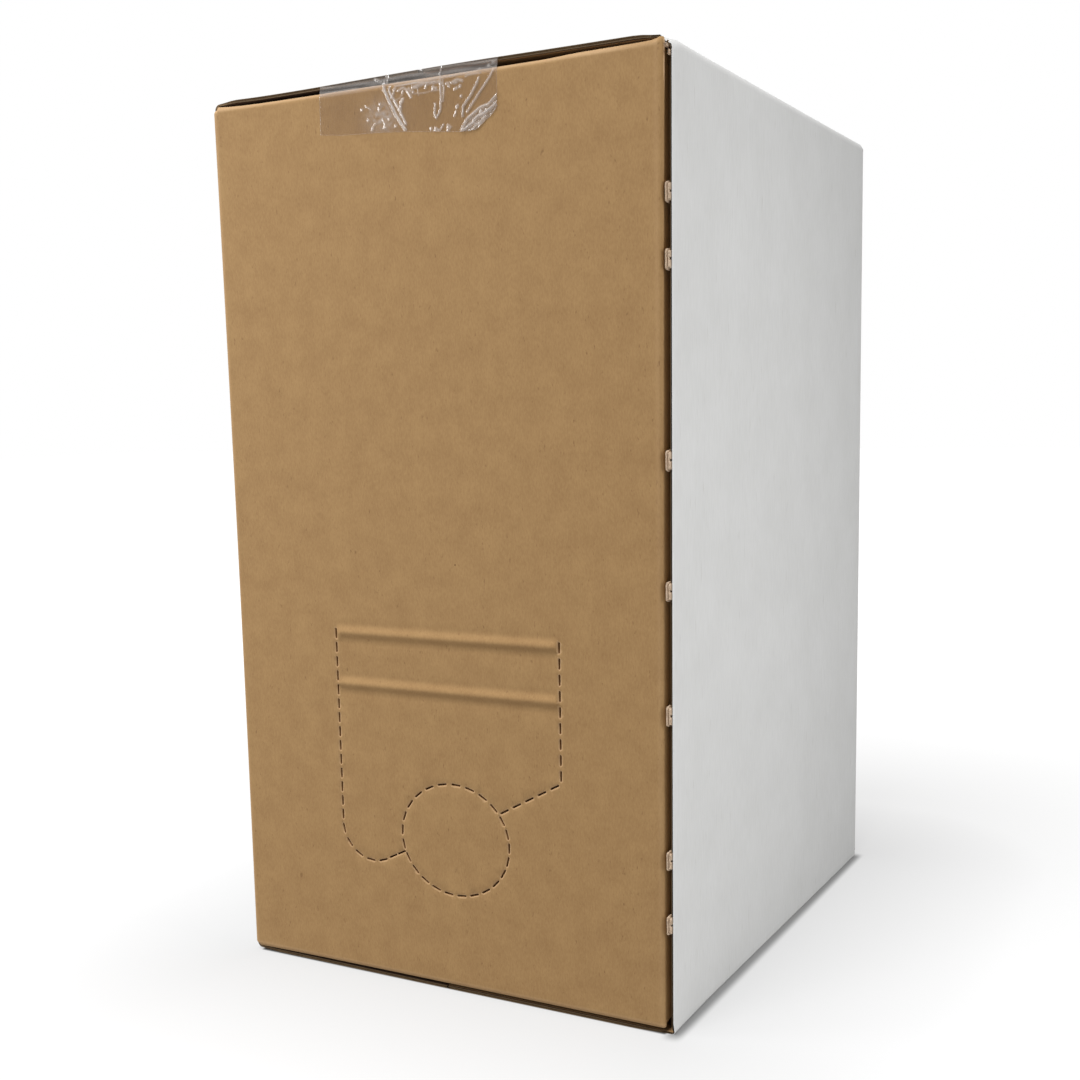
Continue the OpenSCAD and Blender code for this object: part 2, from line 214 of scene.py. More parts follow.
def board(path, stations, place, stuff, inner=INSIDE, open_sides=(), open_tip=False,
          deep_until=0, wrapped_from=PAST_END):
    """A strip of board: a section path drawn across stations. Its open edges show the medium,
    pressed nearly level with the liners, or an open flute up to a number of samples. The outer
    liner is wrapped over the last flutes from one more sample on."""
    def line_along(share, station, inward=0):
        line = []
        for j, (p, n, t) in enumerate(path):
            back = inward * (FLUTE_DEEP if j <= deep_until else PRESSED_DEEP)
            line.append(settled(place(p - share * t * n, station + back)))
        return line

    def line_across(share, sample, back=0):
        p, n, t = sample
        run = (path[-1][0] - path[-2][0]).normalized()
        return [settled(place(p - share * t * n - back * run, s)) for s in stations]

    def edge(line, deep_line, is_deep):
        def edge_stuff(i, j):
            if is_deep(j) and j >= wrapped_from:
                return (WHITE, WHITE, WHITE, WHITE, CUT)[i]
            if is_deep(j):
                return (WHITE, PAINTED_SHADE, PAINTED_SHADE, PAINTED_SHADE, CUT)[i]
            return (CUT, RAW, RAW, RAW, CUT)[i]

        thin = LINER / BOARD
        grid([line(0), line(thin), deep_line(thin), deep_line(1 - thin), line(1 - thin), line(1)], edge_stuff)

    for share, face_stuff in ((0, stuff), (1, inner)):
        grid([line_across(share, sample) for sample in path], face_stuff)
    grid([line_across(0, path[0]), line_across(1, path[0])], CUT)
    if open_tip:
        tip = path[-1]
        edge(lambda d: line_across(d, tip), lambda d: line_across(d, tip, FLUTE_DEEP), lambda j: True)
    else:
        grid([line_across(0, path[-1]), line_across(1, path[-1])], CUT)
    for station, inward in ((stations[0], 1), (stations[-1], -1)):
        if inward in open_sides:
            edge(lambda d: line_along(d, station), lambda d: line_along(d, station, inward),
                 lambda j: j < deep_until)
        else:
            grid([line_along(0, station), line_along(1, station)], CUT)


def steps(start, end, step):
    """Even steps from start to end, both included"""
    count = max(1, round(abs(end - start) / step))
    return [start + (end - start) * i / count for i in range(count + 1)]


def panel_steps(start, end):
    """Steps across a panel, closer together beside the folds at its ends"""
    near = (0, 0.3 * MM, 0.8 * MM, 1.6 * MM)
    first = [start + d for d in near]
    last = [end - d for d in reversed(near)]
    return first + steps(start + 3 * MM, end - 3 * MM, 2.5 * MM) + last


WALL_Z = panel_steps(TOP_Z - UPRIGHT_Z, UPRIGHT_Z)
FRONT_X = panel_steps(PANEL_LEFT, PANEL_RIGHT)
BACK_X = steps(PANEL_LEFT, -PANEL_LEFT, 4 * MM)
SIDE_Y = steps(WALL_FRONT, -WALL_FRONT, 4 * MM)


def upright(p, z):
    return Vector((p.x, p.y, z))


def glue_tab_place(p, z):
    """The glue tab's ends slope towards its tip"""
    share = max(0, (p.y - WALL_FRONT) / (GLUE_TAB - FOLD_R)) if p.x > PANEL_RIGHT + FOLD_R / 2 else 0
    middle = TOP_Z / 2
    half = UPRIGHT_Z - middle
    return Vector((p.x, p.y, middle + (z - middle) * (half - share * TAB_SLOPE) / half))


# Glue tab and front right fold, then the walls from the front left fold round
# to the right wall, whose front edge stays open beside the kraft panel
tab = flat_run((SEAM_X, -BACK_Y + GLUE_TAB), (SEAM_X, -61 * MM), (1, 0), 5 * MM)
tab += flat_run((SEAM_X, -61 * MM), (PANEL_RIGHT + FOLD_R, WALL_FRONT), (1, 0), 3 * MM)[1:]
tab += fold_run((PANEL_RIGHT, WALL_FRONT), 0, -90)[1:]
board(tab, WALL_Z, glue_tab_place, KRAFT)

corners = [
    (PANEL_LEFT, WALL_FRONT, -90, KRAFT, WHITE),
    (PANEL_LEFT, -WALL_FRONT, 180, WHITE, KRAFT),
    (-PANEL_LEFT, -WALL_FRONT, 90, KRAFT, WHITE),
]
# Sample of a fold's round at which the white print starts
PRINT_START = 6
walls = []
wall_stuff = []
for x, y, first, before, after in corners:
    fold = fold_run((x, y), first, -90)
    if walls:
        last = walls[-1][0]
        walls += flat_run(last, fold[0][0], fold[0][1], 4 * MM)[1:]
        wall_stuff += [before] * (len(walls) - 1 - len(wall_stuff))
        walls += fold[1:]
    else:
        walls += fold
    change = PRINT_START if after == WHITE else FOLD_STEPS - PRINT_START
    wall_stuff += [before] * change + [after] * (FOLD_STEPS - change)
front_rows = (0.45 * MM - CUT_Y, 0.22 * MM - CUT_Y)
for y in (*reversed(SIDE_Y[1:-1]), -69.2 * MM, WALL_FRONT, *front_rows, -CUT_Y):
    walls.append((Vector((RIGHT_X, y)), Vector((1, 0)), BOARD))
wall_stuff += [WHITE] * (len(walls) - 1 - len(wall_stuff))
board(walls, WALL_Z, upright, lambda i, j: wall_stuff[i], open_tip=True)

# Flaps: the kraft end flaps fold in first, the white side flaps over them meet
# at the seam. Their front and back edges are cut, and show the medium.
TOP_RIGHT_R = 2.6 * MM
FOOT_RIGHT_R = 1.1 * MM
FOOT_SEAM_GAP = 0.3 * MM
CREASE_BOARD = 0.45 * MM


def flap_thickness(far):
    """The flap thickens again a few millimetres away from its crease"""
    return FLAP_BOARD - (FLAP_BOARD - CREASE_BOARD) * math.exp(-far / (3 * MM))


for top in (1, -1):
    def level(z):
        return z if top > 0 else TOP_Z - z

    for side in (1, -1):
        def side_flap_place(p, y):
            """The flap's ends are cut back towards its crease, beside the upright folds"""
            spare = max(0, abs(y) + WALL_FRONT)
            if side < 0 or y > 0:
                spare *= 0.03 + 0.97 * ramp(RIGHT_X - p.x, 1 * MM, 9 * MM)
            else:
                on_flap = ramp(p.y, UPRIGHT_Z + 0.5 * MM, TOP_Z)
                spare *= 1 - 0.9 * on_flap * (1 - ramp(RIGHT_X - p.x, 3 * MM, 9 * MM))
            return Vector((side * p.x, math.copysign(min(abs(y), -WALL_FRONT) + spare, y), level(p.y)))

        radius = FOLD_R if side < 0 else TOP_RIGHT_R if top > 0 else FOOT_RIGHT_R
        seam = (SEAM_GAP if top > 0 else FOOT_SEAM_GAP) / 2
        section = [(Vector((RIGHT_X, UPRIGHT_Z)), Vector((1, 0)), BOARD)]
        section += fold_run((RIGHT_X - radius, TOP_Z - radius), 0, 90, radius,
                            lambda share: BOARD - (BOARD - CREASE_BOARD) * ramp(share, 0, 0.8))
        section += flat_run(section[-1][0], (seam, TOP_Z), (0, 1), 2 * MM, flap_thickness)[1:]
        stations = [-CUT_Y] + SIDE_Y + [CUT_Y]
        if side > 0:
            stations[1:1] = reversed(front_rows)
        # Painted shade: near their front and back edges the flaps' undersides take the dark medium, for the
        # shade in the narrow gap above the end flaps
        board(section, stations, side_flap_place, WHITE, open_sides=(1, -1),
              inner=lambda i, j: INSIDE if 1 < j < len(SIDE_Y) - 2 else PAINTED_SHADE,
              deep_until=FOLD_STEPS + 1 if side > 0 else 0,
              wrapped_from=4 if top > 0 and side > 0 else PAST_END)
    for end, stations in ((-1, FRONT_X), (1, BACK_X)):
        section = fold_run((-WALL_FRONT, UPRIGHT_Z), 0, 90)
        flat_start = section[-1][0]
        section += flat_run(flat_start, (BACK_Y - END_FLAP, END_Z), (0, 1), 4 * MM)[1:]
        board(section, stations, lambda p, x: Vector((x, end * p.x, level(p.y))), KRAFT)
        # Crushed corners, where the end flap's crease runs into the upright folds
        for side in (1, -1):
            middle_x = stations[-1 if side > 0 else 0]
            power = 4 if side > 0 else 3.2

            def corner_line(i, share):
                a = math.pi / 2 * i / FOLD_STEPS
                line = []
                for j in range(FOLD_STEPS + 1):
                    b = math.pi / 2 * j / FOLD_STEPS
                    square = (math.sin(b) ** power + math.cos(b) ** power) ** (-1 / power)
                    out = Vector((side * math.sin(a) * math.sin(b) * square, end * math.cos(a),
                                  top * math.sin(a) * math.cos(b) * square))
                    reach = FOLD_R - share * crushed(i / FOLD_STEPS)
                    middle = Vector((middle_x, -end * WALL_FRONT, level(UPRIGHT_Z)))
                    line.append(settled(middle + reach * out))
                return line

            last = FOLD_STEPS - 1
            for share, stuff in ((0, KRAFT), (1, INSIDE)):
                grid([corner_line(i, share) for i in range(last + 1)], stuff)
            grid([corner_line(last, 0), corner_line(last, 1)], CUT)
            for j in (0, FOLD_STEPS):
                outer, inner = ([corner_line(i, share)[j] for i in range(last + 1)] for share in (0, 1))
                grid([outer, inner], CUT)

# Front panel, with the perforated tap door cut in it and two hinge beads
# pressed out of it. Sizes are in millimetres on the panel, x to the right from
# its middle and z up from the floor.
DOOR_LEFT, DOOR_RIGHT, DOOR_TOP = -29.1, 32.8, 87.4
BEADS = (87.0, 74.3)
BEAD_HALF, BEAD_OUT = 1.75, 0.66
HOLE = Vector((3.7, 38.2))
HOLE_HALF = Vector((15, 13.7))
HOLE_JOINS = (35, 199)
LOBE = Vector((-20.1, 39))
LOBE_R, LOBE_TURN = 9, 120
NOTCH_Z = 55.3
SLOT_PITCH, SLOT_L, SLOT_W = 3.6, 2.6, 0.44
BEAD_ZONE, SLOT_ZONE = 3.5, 0.6
RIM_PRESS, RIM_SWELL = 0.16, 0.05
TROUGH_BELOW, TROUGH_ABOVE = 0.1, 0.05
# A dark fleck in the kraft above the door
SPECK = Vector((6, 104.6))


def on_oval(centre, half, degrees):
    """Point of an upright oval at an angle"""
    angle = math.radians(degrees)
    return centre + Vector((half[0] * math.cos(angle), half[1] * math.sin(angle)))


def slots_along(points, length):
    """Slots spaced evenly on a line given as a function of its share"""
    count = round(length / SLOT_PITCH)
    for i in range(count):
        middle = (i + 0.5) / count
        way = points(middle + 0.001) - points(middle - 0.001)
        slots.append((points(middle), way.normalized()))


def line_slots(start, end):
    start, end = Vector(start), Vector(end)
    slots_along(lambda share: start.lerp(end, share), (end - start).length)


def oval_slots(centre, half, first, turn):
    mean = (half[0] + half[1]) / 2
    slots_along(lambda share: on_oval(centre, half, first + turn * share),
                math.radians(abs(turn)) * mean)


slots = []
lobe_half = Vector((LOBE_R, LOBE_R))
line_slots((DOOR_LEFT, DOOR_TOP + 0.9), (DOOR_LEFT, LOBE.y))
oval_slots(LOBE, lobe_half, 180, LOBE_TURN)
line_slots(on_oval(LOBE, lobe_half, 180 + LOBE_TURN), on_oval(HOLE, HOLE_HALF, HOLE_JOINS[1]))
oval_slots(HOLE, HOLE_HALF, HOLE_JOINS[0], HOLE_JOINS[1] - HOLE_JOINS[0])
oval_slots(HOLE, HOLE_HALF, HOLE_JOINS[1], 360 + HOLE_JOINS[0] - HOLE_JOINS[1])
line_slots((DOOR_RIGHT, DOOR_TOP + 1.3), (DOOR_RIGHT, NOTCH_Z))
line_slots((DOOR_RIGHT, NOTCH_Z), on_oval(HOLE, HOLE_HALF, HOLE_JOINS[0]))


def slot_ring(middle, way, grow):
    """Outline of a slot with pointed ends, grown by a margin"""
    across = Vector((-way.y, way.x))
    half_l, half_w = SLOT_L / 2 + grow, SLOT_W / 2 + grow
    shoulder = half_l - half_w * 0.8
    corners = ((half_l, 0), (shoulder, half_w), (0, half_w), (-shoulder, half_w),
               (-half_l, 0), (-shoulder, -half_w), (0, -half_w), (shoulder, -half_w))
    return [middle + a * way + b * across for a, b in corners]


slot_middles = np.array([s[0] for s in slots])
slot_ways = np.array([s[1] for s in slots])


def slot_distance(x, z):
    """Distance from a point of the panel to the rim of the nearest slot"""
    away = np.array((x, z)) - slot_middles
    along = np.clip((away * slot_ways).sum(1), SLOT_W / 2 - SLOT_L / 2, SLOT_L / 2 - SLOT_W / 2)
    return np.hypot(*(away - along[:, None] * slot_ways).T).min() - SLOT_W / 2


def bead_height(x, z):
    """How far the hinge beads stand out of the panel at a point"""
    inside = ramp(x, DOOR_LEFT + 0.2, DOOR_LEFT + 0.9) * ramp(-x, 0.2 - DOOR_RIGHT, 0.9 - DOOR_RIGHT)
    rise = 0
    for bead in BEADS:
        below = bead - z
        rise += BEAD_OUT * (0.5 + 0.5 * math.cos(math.pi * min(1, abs(below) / BEAD_HALF)))
        # Shallow troughs beside the bead
        trough = TROUGH_ABOVE * math.exp(-((below + 2.2) / 0.6) ** 2)
        rise -= trough + TROUGH_BELOW * math.exp(-((below - 2.4) / 0.9) ** 2)
    return rise * inside


def panel_points():
    """Grid points of the panel, close together at the beads, apart from the slots' own points"""
    rows = [z / MM for z in WALL_Z[1:-1]]
    columns = [x / MM for x in FRONT_X[1:-1]]
    points = [(x, z) for z in rows for x in columns if min(abs(z - b) for b in BEADS) > BEAD_ZONE]
    fine = steps(-3.4, 3, 0.32)
    for bead in BEADS:
        for x in steps(-56, 55.5, 1.2):
            points += [(x, bead + dz) for dz in fine]
    for bead in BEADS:
        for x in (DOOR_LEFT, DOOR_RIGHT):
            side = 1 if x < 0 else -1
            points += [(x + side * dx, bead + dz) for dx in (0.3, 0.5, 0.75) for dz in fine]
    return [p for p in points if slot_distance(*p) > SLOT_ZONE]


outline = [(x / MM, WALL_Z[0] / MM) for x in FRONT_X]
outline += [(PANEL_RIGHT / MM, z / MM) for z in WALL_Z[1:]]
outline += [(x / MM, WALL_Z[-1] / MM) for x in reversed(FRONT_X[:-1])]
outline += [(PANEL_LEFT / MM, z / MM) for z in reversed(WALL_Z[1:-1])]
points = [Vector(p) for p in outline]
rim_edges = [(i, (i + 1) % len(points)) for i in range(len(points))]
slot_faces = []
for middle, way in slots:
    ring = slot_ring(middle, way, 0)
    slot_faces.append([len(points) + i for i in range(len(ring))])
    points += ring
for middle, way in slots:
    for grow in (0.14, 0.4):
        points += [p for p in slot_ring(middle, way, grow) if slot_distance(*p) > grow * 0.7]
points += [Vector(p) for p in panel_points()]
points.append(SPECK)
points += [SPECK + Vector((r * math.cos(k), r * math.sin(k))) for r in (0.15, 0.3) for k in range(6)]
net = delaunay_2d_cdt(points, rim_edges, slot_faces, 0, 1e-6, True)
flat_points, triangles, in_slot = net[0], net[2], net[5]


def slot_axis_share(x, z):
    """Moves a point inside or on a slot's rim most of the way to the slot's long axis"""
    away = np.array((x, z)) - slot_middles
    nearest = (away ** 2).sum(1).argmin()
    way = slot_ways[nearest]
    on_axis = slot_middles[nearest] + way * (away[nearest] @ way) * 0.9
    return on_axis + (np.array((x, z)) - on_axis) * 0.15


def panel_point(x, z, inner):
    """Point of the panel's outer or inner face, pressed in at the rims of the slots"""
    away = slot_distance(x, z)
    rim_press = RIM_PRESS * math.exp(-max(0, away) / 0.2) - RIM_SWELL * math.exp(-((away - 0.45) / 0.2) ** 2)
    out = bead_height(x, z) - (0 if inner else rim_press)
    y = -BACK_Y + (BOARD if inner else 0) - out * MM
    if inner and away < 0.05:
        x, z = slot_axis_share(x, z)
    return settled(Vector((x * MM, y, z * MM)))


def is_rim(p):
    """On the panel's own outline"""
    low_z, high_z = WALL_Z[0] / MM, WALL_Z[-1] / MM
    gap_x = min(abs(p.x - PANEL_LEFT / MM), abs(p.x - PANEL_RIGHT / MM))
    return min(gap_x, abs(p.y - low_z), abs(p.y - high_z)) < 1e-4


layers = []
for inner in (False, True):
    layers.append([blank.verts.new(
        settled(Vector((p.x * MM, -BACK_Y + (BOARD if inner else 0), p.y * MM))) if is_rim(p)
        else panel_point(p.x, p.y, inner)) for p in flat_points])
used = {}
for triangle, origin in zip(triangles, in_slot):
    if origin:
        continue
    for layer, order, stuff in ((0, 1, KRAFT), (1, -1, INSIDE)):
        face = blank.faces.new([layers[layer][i] for i in triangle][::order])
        face.material_index = stuff
    for i in range(3):
        a, b = triangle[i], triangle[(i + 1) % 3]
        used[(a, b)] = True
for a, b in used:
    if (b, a) not in used:
        face = blank.faces.new((layers[0][b], layers[0][a], layers[1][a], layers[1][b]))
        face.material_index = SLIT

# Torn nicks: where the blank was ripped off its neighbour, tufts of fibre stand
# out of the right wall's front edge, round towards the seam
NICK_H, NICK_W, NICK_OUT = 4.6 * MM, 1.28 * MM, 0.5 * MM
TUFT_ROOT, TUFT_BACK = 0.9 * MM, 1.2 * MM
random.seed(7)
nicks = [(share * TOP_Z - 0.2 * MM, NICK_H * random.uniform(0.95, 1.05), NICK_W, 0) for share in NICK_SHARES]
# Scraps of torn liner at the top of the same edge: middle, height, width, place across
nicks += [(212.4 * MM, 0.8 * MM, 0.7 * MM, -0.75 * MM), (210.9 * MM, 1.2 * MM, 0.4 * MM, -0.15 * MM)]
for middle_z, height, width, aside in nicks:
    share = middle_z / TOP_Z
    # u runs across the tuft and v up it, both from -0.5 to 0.5
    lines = []
    for u in (-0.5, -0.49, *steps(-0.45, 0.45, 0.05), 0.49, 0.5):
        line = []
        for v in (-0.5, -0.49, *steps(-0.46, 0.46, 0.04), 0.49, 0.5):
            corner = max(0, abs(v) - 0.36) / 0.14
            half_w = 1 - (0.5 * corner ** 2 if u < 0 else 0.1 * corner ** 2)
            x = RIGHT_X + EDGE_FLARE + lean(-CUT_Y, middle_z) - 0.3 * MM + aside + width * (u * half_w - 0.5)
            tall = height * (1 if u < 0.02 else 0.84)
            inner_edge = min(1, (0.5 - abs(u)) / 0.07, (0.5 - abs(v)) / 0.07)
            hump = math.sin(math.pi / 2 * max(0, inner_edge)) ** 0.6
            groove = 0.85 * math.exp(-((u + 0.02 + 0.02 * math.sin(v * 9)) / 0.055) ** 2)
            pit = 2.2 * math.exp(-((u - 0.42) / 0.12) ** 2 - ((v - 0.03) / 0.06) ** 2)
            torn = noise.noise((u * 5, v * 16, share * 70)) * 0.25
            torn += noise.noise((u * 14, v * 50, share * 90)) * 0.15
            out = NICK_OUT * hump * max(0, 1 - groove - pit + torn) - TUFT_ROOT * (1 - hump)
            line.append(Vector((x, -CUT_Y - out, middle_z + v * tall + torn * 0.3 * MM)))
        lines.append(line)
    # A dark pit where a tuft's right edge has come away, its shade painted with the dark medium
    is_tuft = height > 3 * MM
    grid(lines, lambda i, j: PAINTED_SHADE if is_tuft and i > len(lines) - 7 and 13 <= j <= 15 else TORN)
    back_lines = [[Vector((p.x, -CUT_Y + TUFT_BACK, p.z)) for p in line] for line in lines]
    grid(back_lines, TORN)
    for end in (0, -1):
        grid([lines[end], back_lines[end]], TORN)
    for end in (0, -1):
        grid([[line[end] for line in lines], [line[end] for line in back_lines]], TORN)

# Take out the two faces between strips that meet, and weld the strips there
same_place = bmesh.ops.find_doubles(blank, verts=blank.verts, dist=1e-3 * MM)["targetmap"]
meeting = {}
for face in blank.faces:
    meeting.setdefault(frozenset(same_place.get(v, v) for v in face.verts), []).append(face)
between = [f for faces in meeting.values() if len(faces) > 1 for f in faces]
bmesh.ops.delete(blank, geom=between, context="FACES_ONLY")
bmesh.ops.weld_verts(blank, targetmap=same_place)
open_edges = [e for e in blank.edges if len(e.link_faces) == 1]
filled = bmesh.ops.holes_fill(blank, edges=open_edges, sides=0)
for face in filled["faces"]:
    face.material_index = CUT
loose = [e for e in blank.edges if not e.link_faces]
bmesh.ops.delete(blank, geom=loose, context="EDGES")
bmesh.ops.recalc_face_normals(blank, faces=blank.faces)


def finish_mesh(source, name, sharp_degrees):
    """Turns a bmesh into a smooth shaded object with sharp edges above an angle"""
    for face in source.faces:
        face.smooth = True
    limit = math.radians(sharp_degrees)
    for e in source.edges:
        e.smooth = len(e.link_faces) == 2 and e.calc_face_angle(0) < limit
    mesh = bpy.data.meshes.new(name)
    source.to_mesh(mesh)
    source.free()
    made = bpy.data.objects.new(name, mesh)
    bpy.context.scene.collection.objects.link(made)
    return made


carton = finish_mesh(blank, "folded_carton", 38)

# Paler liner along the creases and round the rims of the slots, partly where the fibres are stretched and
# partly painted highlight where these catch the light, and the dark fleck, which is where the value falls to
# -3
SPECK_R = 0.2
stretch_and_highlight = carton.data.attributes.new("stretch_and_highlight", "FLOAT", "POINT")
values = []
for vert in carton.data.vertices:
    x, y, z = (c / MM for c in vert.co)
    value = 0
    if y < -71:
        away = slot_distance(x, z)
        slot_rim = 0.5 * math.exp(-((away - 0.12) / 0.15) ** 2) * (1 if away > -0.05 else 0)
        # Paler bands along the front's side folds: partly stretched fibre, partly painted highlight
        right_fold = 0.12 * math.exp(-((x - 57.4) / 0.5) ** 2)
        left_fold = 0.25 * math.exp(-((x + 59) / 0.6) ** 2)
        value = slot_rim + (right_fold + left_fold)
        if (Vector((x, z)) - SPECK).length < SPECK_R:
            value = -3
    on_crease = -72.5 < y < -70.9
    # The crest of the top crease: paler stretched fibre and a painted highlight where it faces the light from
    # above, weaker towards the right corner
    if on_crease and z > 212 and x < 57.5:
        value += (0.55 - 0.3 * ramp(x, 45, 55)) * ramp(z, 212.2, 212.9)
    if x > 59:
        # Painted highlight: a bright line along the white front edge of the right wall
        value += 1.2 * math.exp(-((y + 71.7) / 0.45) ** 2)
    # The bottom crease: paler stretched fibre and a painted highlight just above the foot
    if on_crease and z < 3:
        value += 0.3 * ramp(3 - z, 0, 0.7)
    values.append(value)
stretch_and_highlight.data.foreach_set("value", values)


def colour(code):
    """sRGB hex as the linear colour that the shaders take"""
    parts = [int(code[i:i + 2], 16) / 255 for i in (1, 3, 5)]
    linear = [p / 12.92 if p <= 0.04045 else ((p + 0.055) / 1.055) ** 2.4 for p in parts]
    return (*linear, 1)


def add(tree, kind, settings, inputs):
    """Adds a shader node, sets its properties, and sets or links its inputs by name or number.
    A node given as an input stands for its first output. In a MapRange, 0 is the value, 1 and 2
    its range, 3 and 4 the range it is carried to. In a Mix, 0 is the share of the second input."""
    made = tree.nodes.new("ShaderNode" + kind)
    for key, value in settings.items():
        setattr(made, key, value)
    for key, value in inputs.items():
        if isinstance(value, bpy.types.Node):
            value = value.outputs[0]
        if isinstance(value, bpy.types.NodeSocket):
            tree.links.new(value, made.inputs[key])
        else:
            made.inputs[key].default_value = value
    return made


def start_material(name):
    """A new material, its tree, and its object coordinates in millimetres"""
    made = bpy.data.materials.new(name)
    made.use_nodes = True
    tree = made.node_tree
    tree.nodes.clear()
    place = add(tree, "TexCoord", {}, {})
    in_mm = add(tree, "VectorMath", {"operation": "SCALE"}, {0: place.outputs["Object"], "Scale": 1000})
    return made, tree, in_mm


def paper(name, dark, light, fleck, fibre, cloud, contrast, rough, relief, stretch_and_highlight_tone=None):
    """Unbleached or printed paper liner: long fibres, slow clouds and sparse dark flecks. The width
    and length of a fibre, the size of a cloud and the relief are in millimetres."""
    made, tree, in_mm = start_material(name)
    wide, tall = fibre
    along = add(tree, "Mapping", {}, {"Vector": in_mm, "Scale": (1 / wide, 1 / wide, 1 / tall)})
    fibres = add(tree, "TexNoise", {}, {"Vector": along, "Scale": 1, "Detail": 4, "Roughness": 0.62})
    clouds = add(tree, "TexNoise", {}, {"Vector": in_mm, "Scale": 1 / cloud, "Detail": 3, "Roughness": 0.5})
    both = add(tree, "Mix", {"data_type": "FLOAT"}, {0: 0.42, 2: fibres, 3: clouds})
    spread = add(tree, "MapRange", {}, {0: both, 1: 0.5 - contrast, 2: 0.5 + contrast})
    base = add(tree, "Mix", {"data_type": "RGBA"}, {0: spread, 6: colour(dark), 7: colour(light)})
    specks = add(tree, "TexNoise", {}, {"Vector": along, "Scale": 0.45, "Detail": 2, "Roughness": 0.7})
    rare = add(tree, "MapRange", {}, {0: specks, 1: 0.66, 2: 0.78, 3: 0, 4: 0.5})
    flecked = add(tree, "Mix", {"data_type": "RGBA"}, {0: rare, 6: base.outputs[2], 7: colour(fleck)})
    # Paler towards a second tone along creases, slot rims and the white edge, partly stretched fibre and
    # partly painted highlight; darker, to the fleck colour, where the value falls to -3
    if stretch_and_highlight_tone:
        stretch_and_highlight = add(tree, "Attribute", {"attribute_name": "stretch_and_highlight"}, {})
        paler = add(tree, "Clamp", {}, {0: stretch_and_highlight.outputs["Fac"]})
        toned = add(tree, "Mix", {"data_type": "RGBA"},
                    {0: paler, 6: flecked.outputs[2], 7: colour(stretch_and_highlight_tone)})
        darker = add(tree, "MapRange", {}, {0: stretch_and_highlight.outputs["Fac"], 1: 0, 2: -3})
        flecked = add(tree, "Mix", {"data_type": "RGBA"},
                      {0: darker, 6: toned.outputs[2], 7: colour(fleck)})
    bump = add(tree, "Bump", {}, {"Height": fibres, "Strength": 1, "Distance": relief * MM})
    shader = add(tree, "BsdfPrincipled", {}, {"Base Color": flecked.outputs[2], "Roughness": rough,
                                              "Specular IOR Level": 0.3, "Normal": bump})
    add(tree, "OutputMaterial", {}, {"Surface": shader})
    return made


# Kraft liner, unbleached pulp: warm brown, matt, with fine upright fibres, and a paler tone for stretched
# creases and painted highlights
kraft_liner = paper("kraft_liner", "#927048", "#AD8B5D", "#6A4A2C", (0.35, 0.9), 6, 0.26, 0.82, 0.04,
                    stretch_and_highlight_tone="#CDAA82")
# White print on the same liner: matt, the fibres barely show through; its paler tone is mostly a painted
# highlight, along the right wall's front edge
white_print = paper("white_print", "#D9D9D7", "#E6E6E5", "#C2BFBA", (0.5, 4), 14, 0.25, 0.7, 0.02,
                    stretch_and_highlight_tone="#FCFCFB")
# Inner liner: recycled pulp, a little darker and greyer
inner_liner = paper("inner_liner", "#8E6E48", "#A98860", "#6B5135", (0.4, 1.6), 7, 0.25, 0.88, 0.03)
# Cut liner edges, a little burnished by the knife
cut_edge = paper("cut_liner_edge", "#54442F", "#6E5A40", "#3A2A1C", (0.2, 1), 3, 0.3, 0.8, 0.03)
# Medium cut along a flute's tip, level with the liners
raw_medium = paper("raw_medium", "#5E4A34", "#7C6547", "#3A2A1C", (0.3, 1), 3, 0.3, 0.9, 0.05)
# Medium inside the flutes, painted dark for the shade there, since little light gets in; the same painted
# shade lies on the flaps' undersides near their cut edges and in the pits of the nicks
painted_shade_medium = paper("painted_shade_medium", "#3A2819", "#4E3826", "#24170E", (0.3, 1.2), 4, 0.3, 0.95, 0.05)
# Torn fibres: the pale inside of the board
torn_fibre = paper("torn_fibre", "#A98E72", "#DCC6AE", "#7A6248", (0.12, 0.5), 1.2, 0.3, 0.92, 0.12)
# Knife-cut walls of the door's slots, deep in the board
slit_wall = paper("slit_wall", "#7A5634", "#946C44", "#5A3E24", (0.2, 0.8), 2, 0.3, 0.95, 0.03)
for made in (kraft_liner, white_print, inner_liner, cut_edge, painted_shade_medium, torn_fibre, raw_medium,
             slit_wall):
    carton.data.materials.append(made)
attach(carton, "root")
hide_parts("carton")

# Sealing tape. Clear polypropylene packing tape, 48 mm wide, stuck along the
# top seam and down both ends. In front it bridges the gap above the kraft
# panel, ends on a slant with a torn corner, and is creased by its own pull.
TAPE_LEFT, TAPE_RIGHT = -27.5, 20.1
FRONT_Y, FILM = -BACK_Y / MM, 0.05
LEAVES_Z = 211.9
CREST_Z = 215.06
CREST_Y = -71.3
# Sizes are in millimetres, and a way runs up the front, back along the top and down.
# The front end's cut: places across the tape and their ways
TAPE_END = ((-27.5, 203.9), (-21.5, 203.2), (-15.5, 202.9), (-9.7, 202.6), (-3.6, 202.1), (3.8, 201.3),
            (11.1, 200.5), (14.2, 200.5), (15.4, 200.9), (17.4, 202.5), (18.6, 203.1), (19.8, 204.4),
            (20.1, 204.9))
BACK_WAY = CREST_Z - 2 * CREST_Y
TAPE_STOP = BACK_WAY + 38


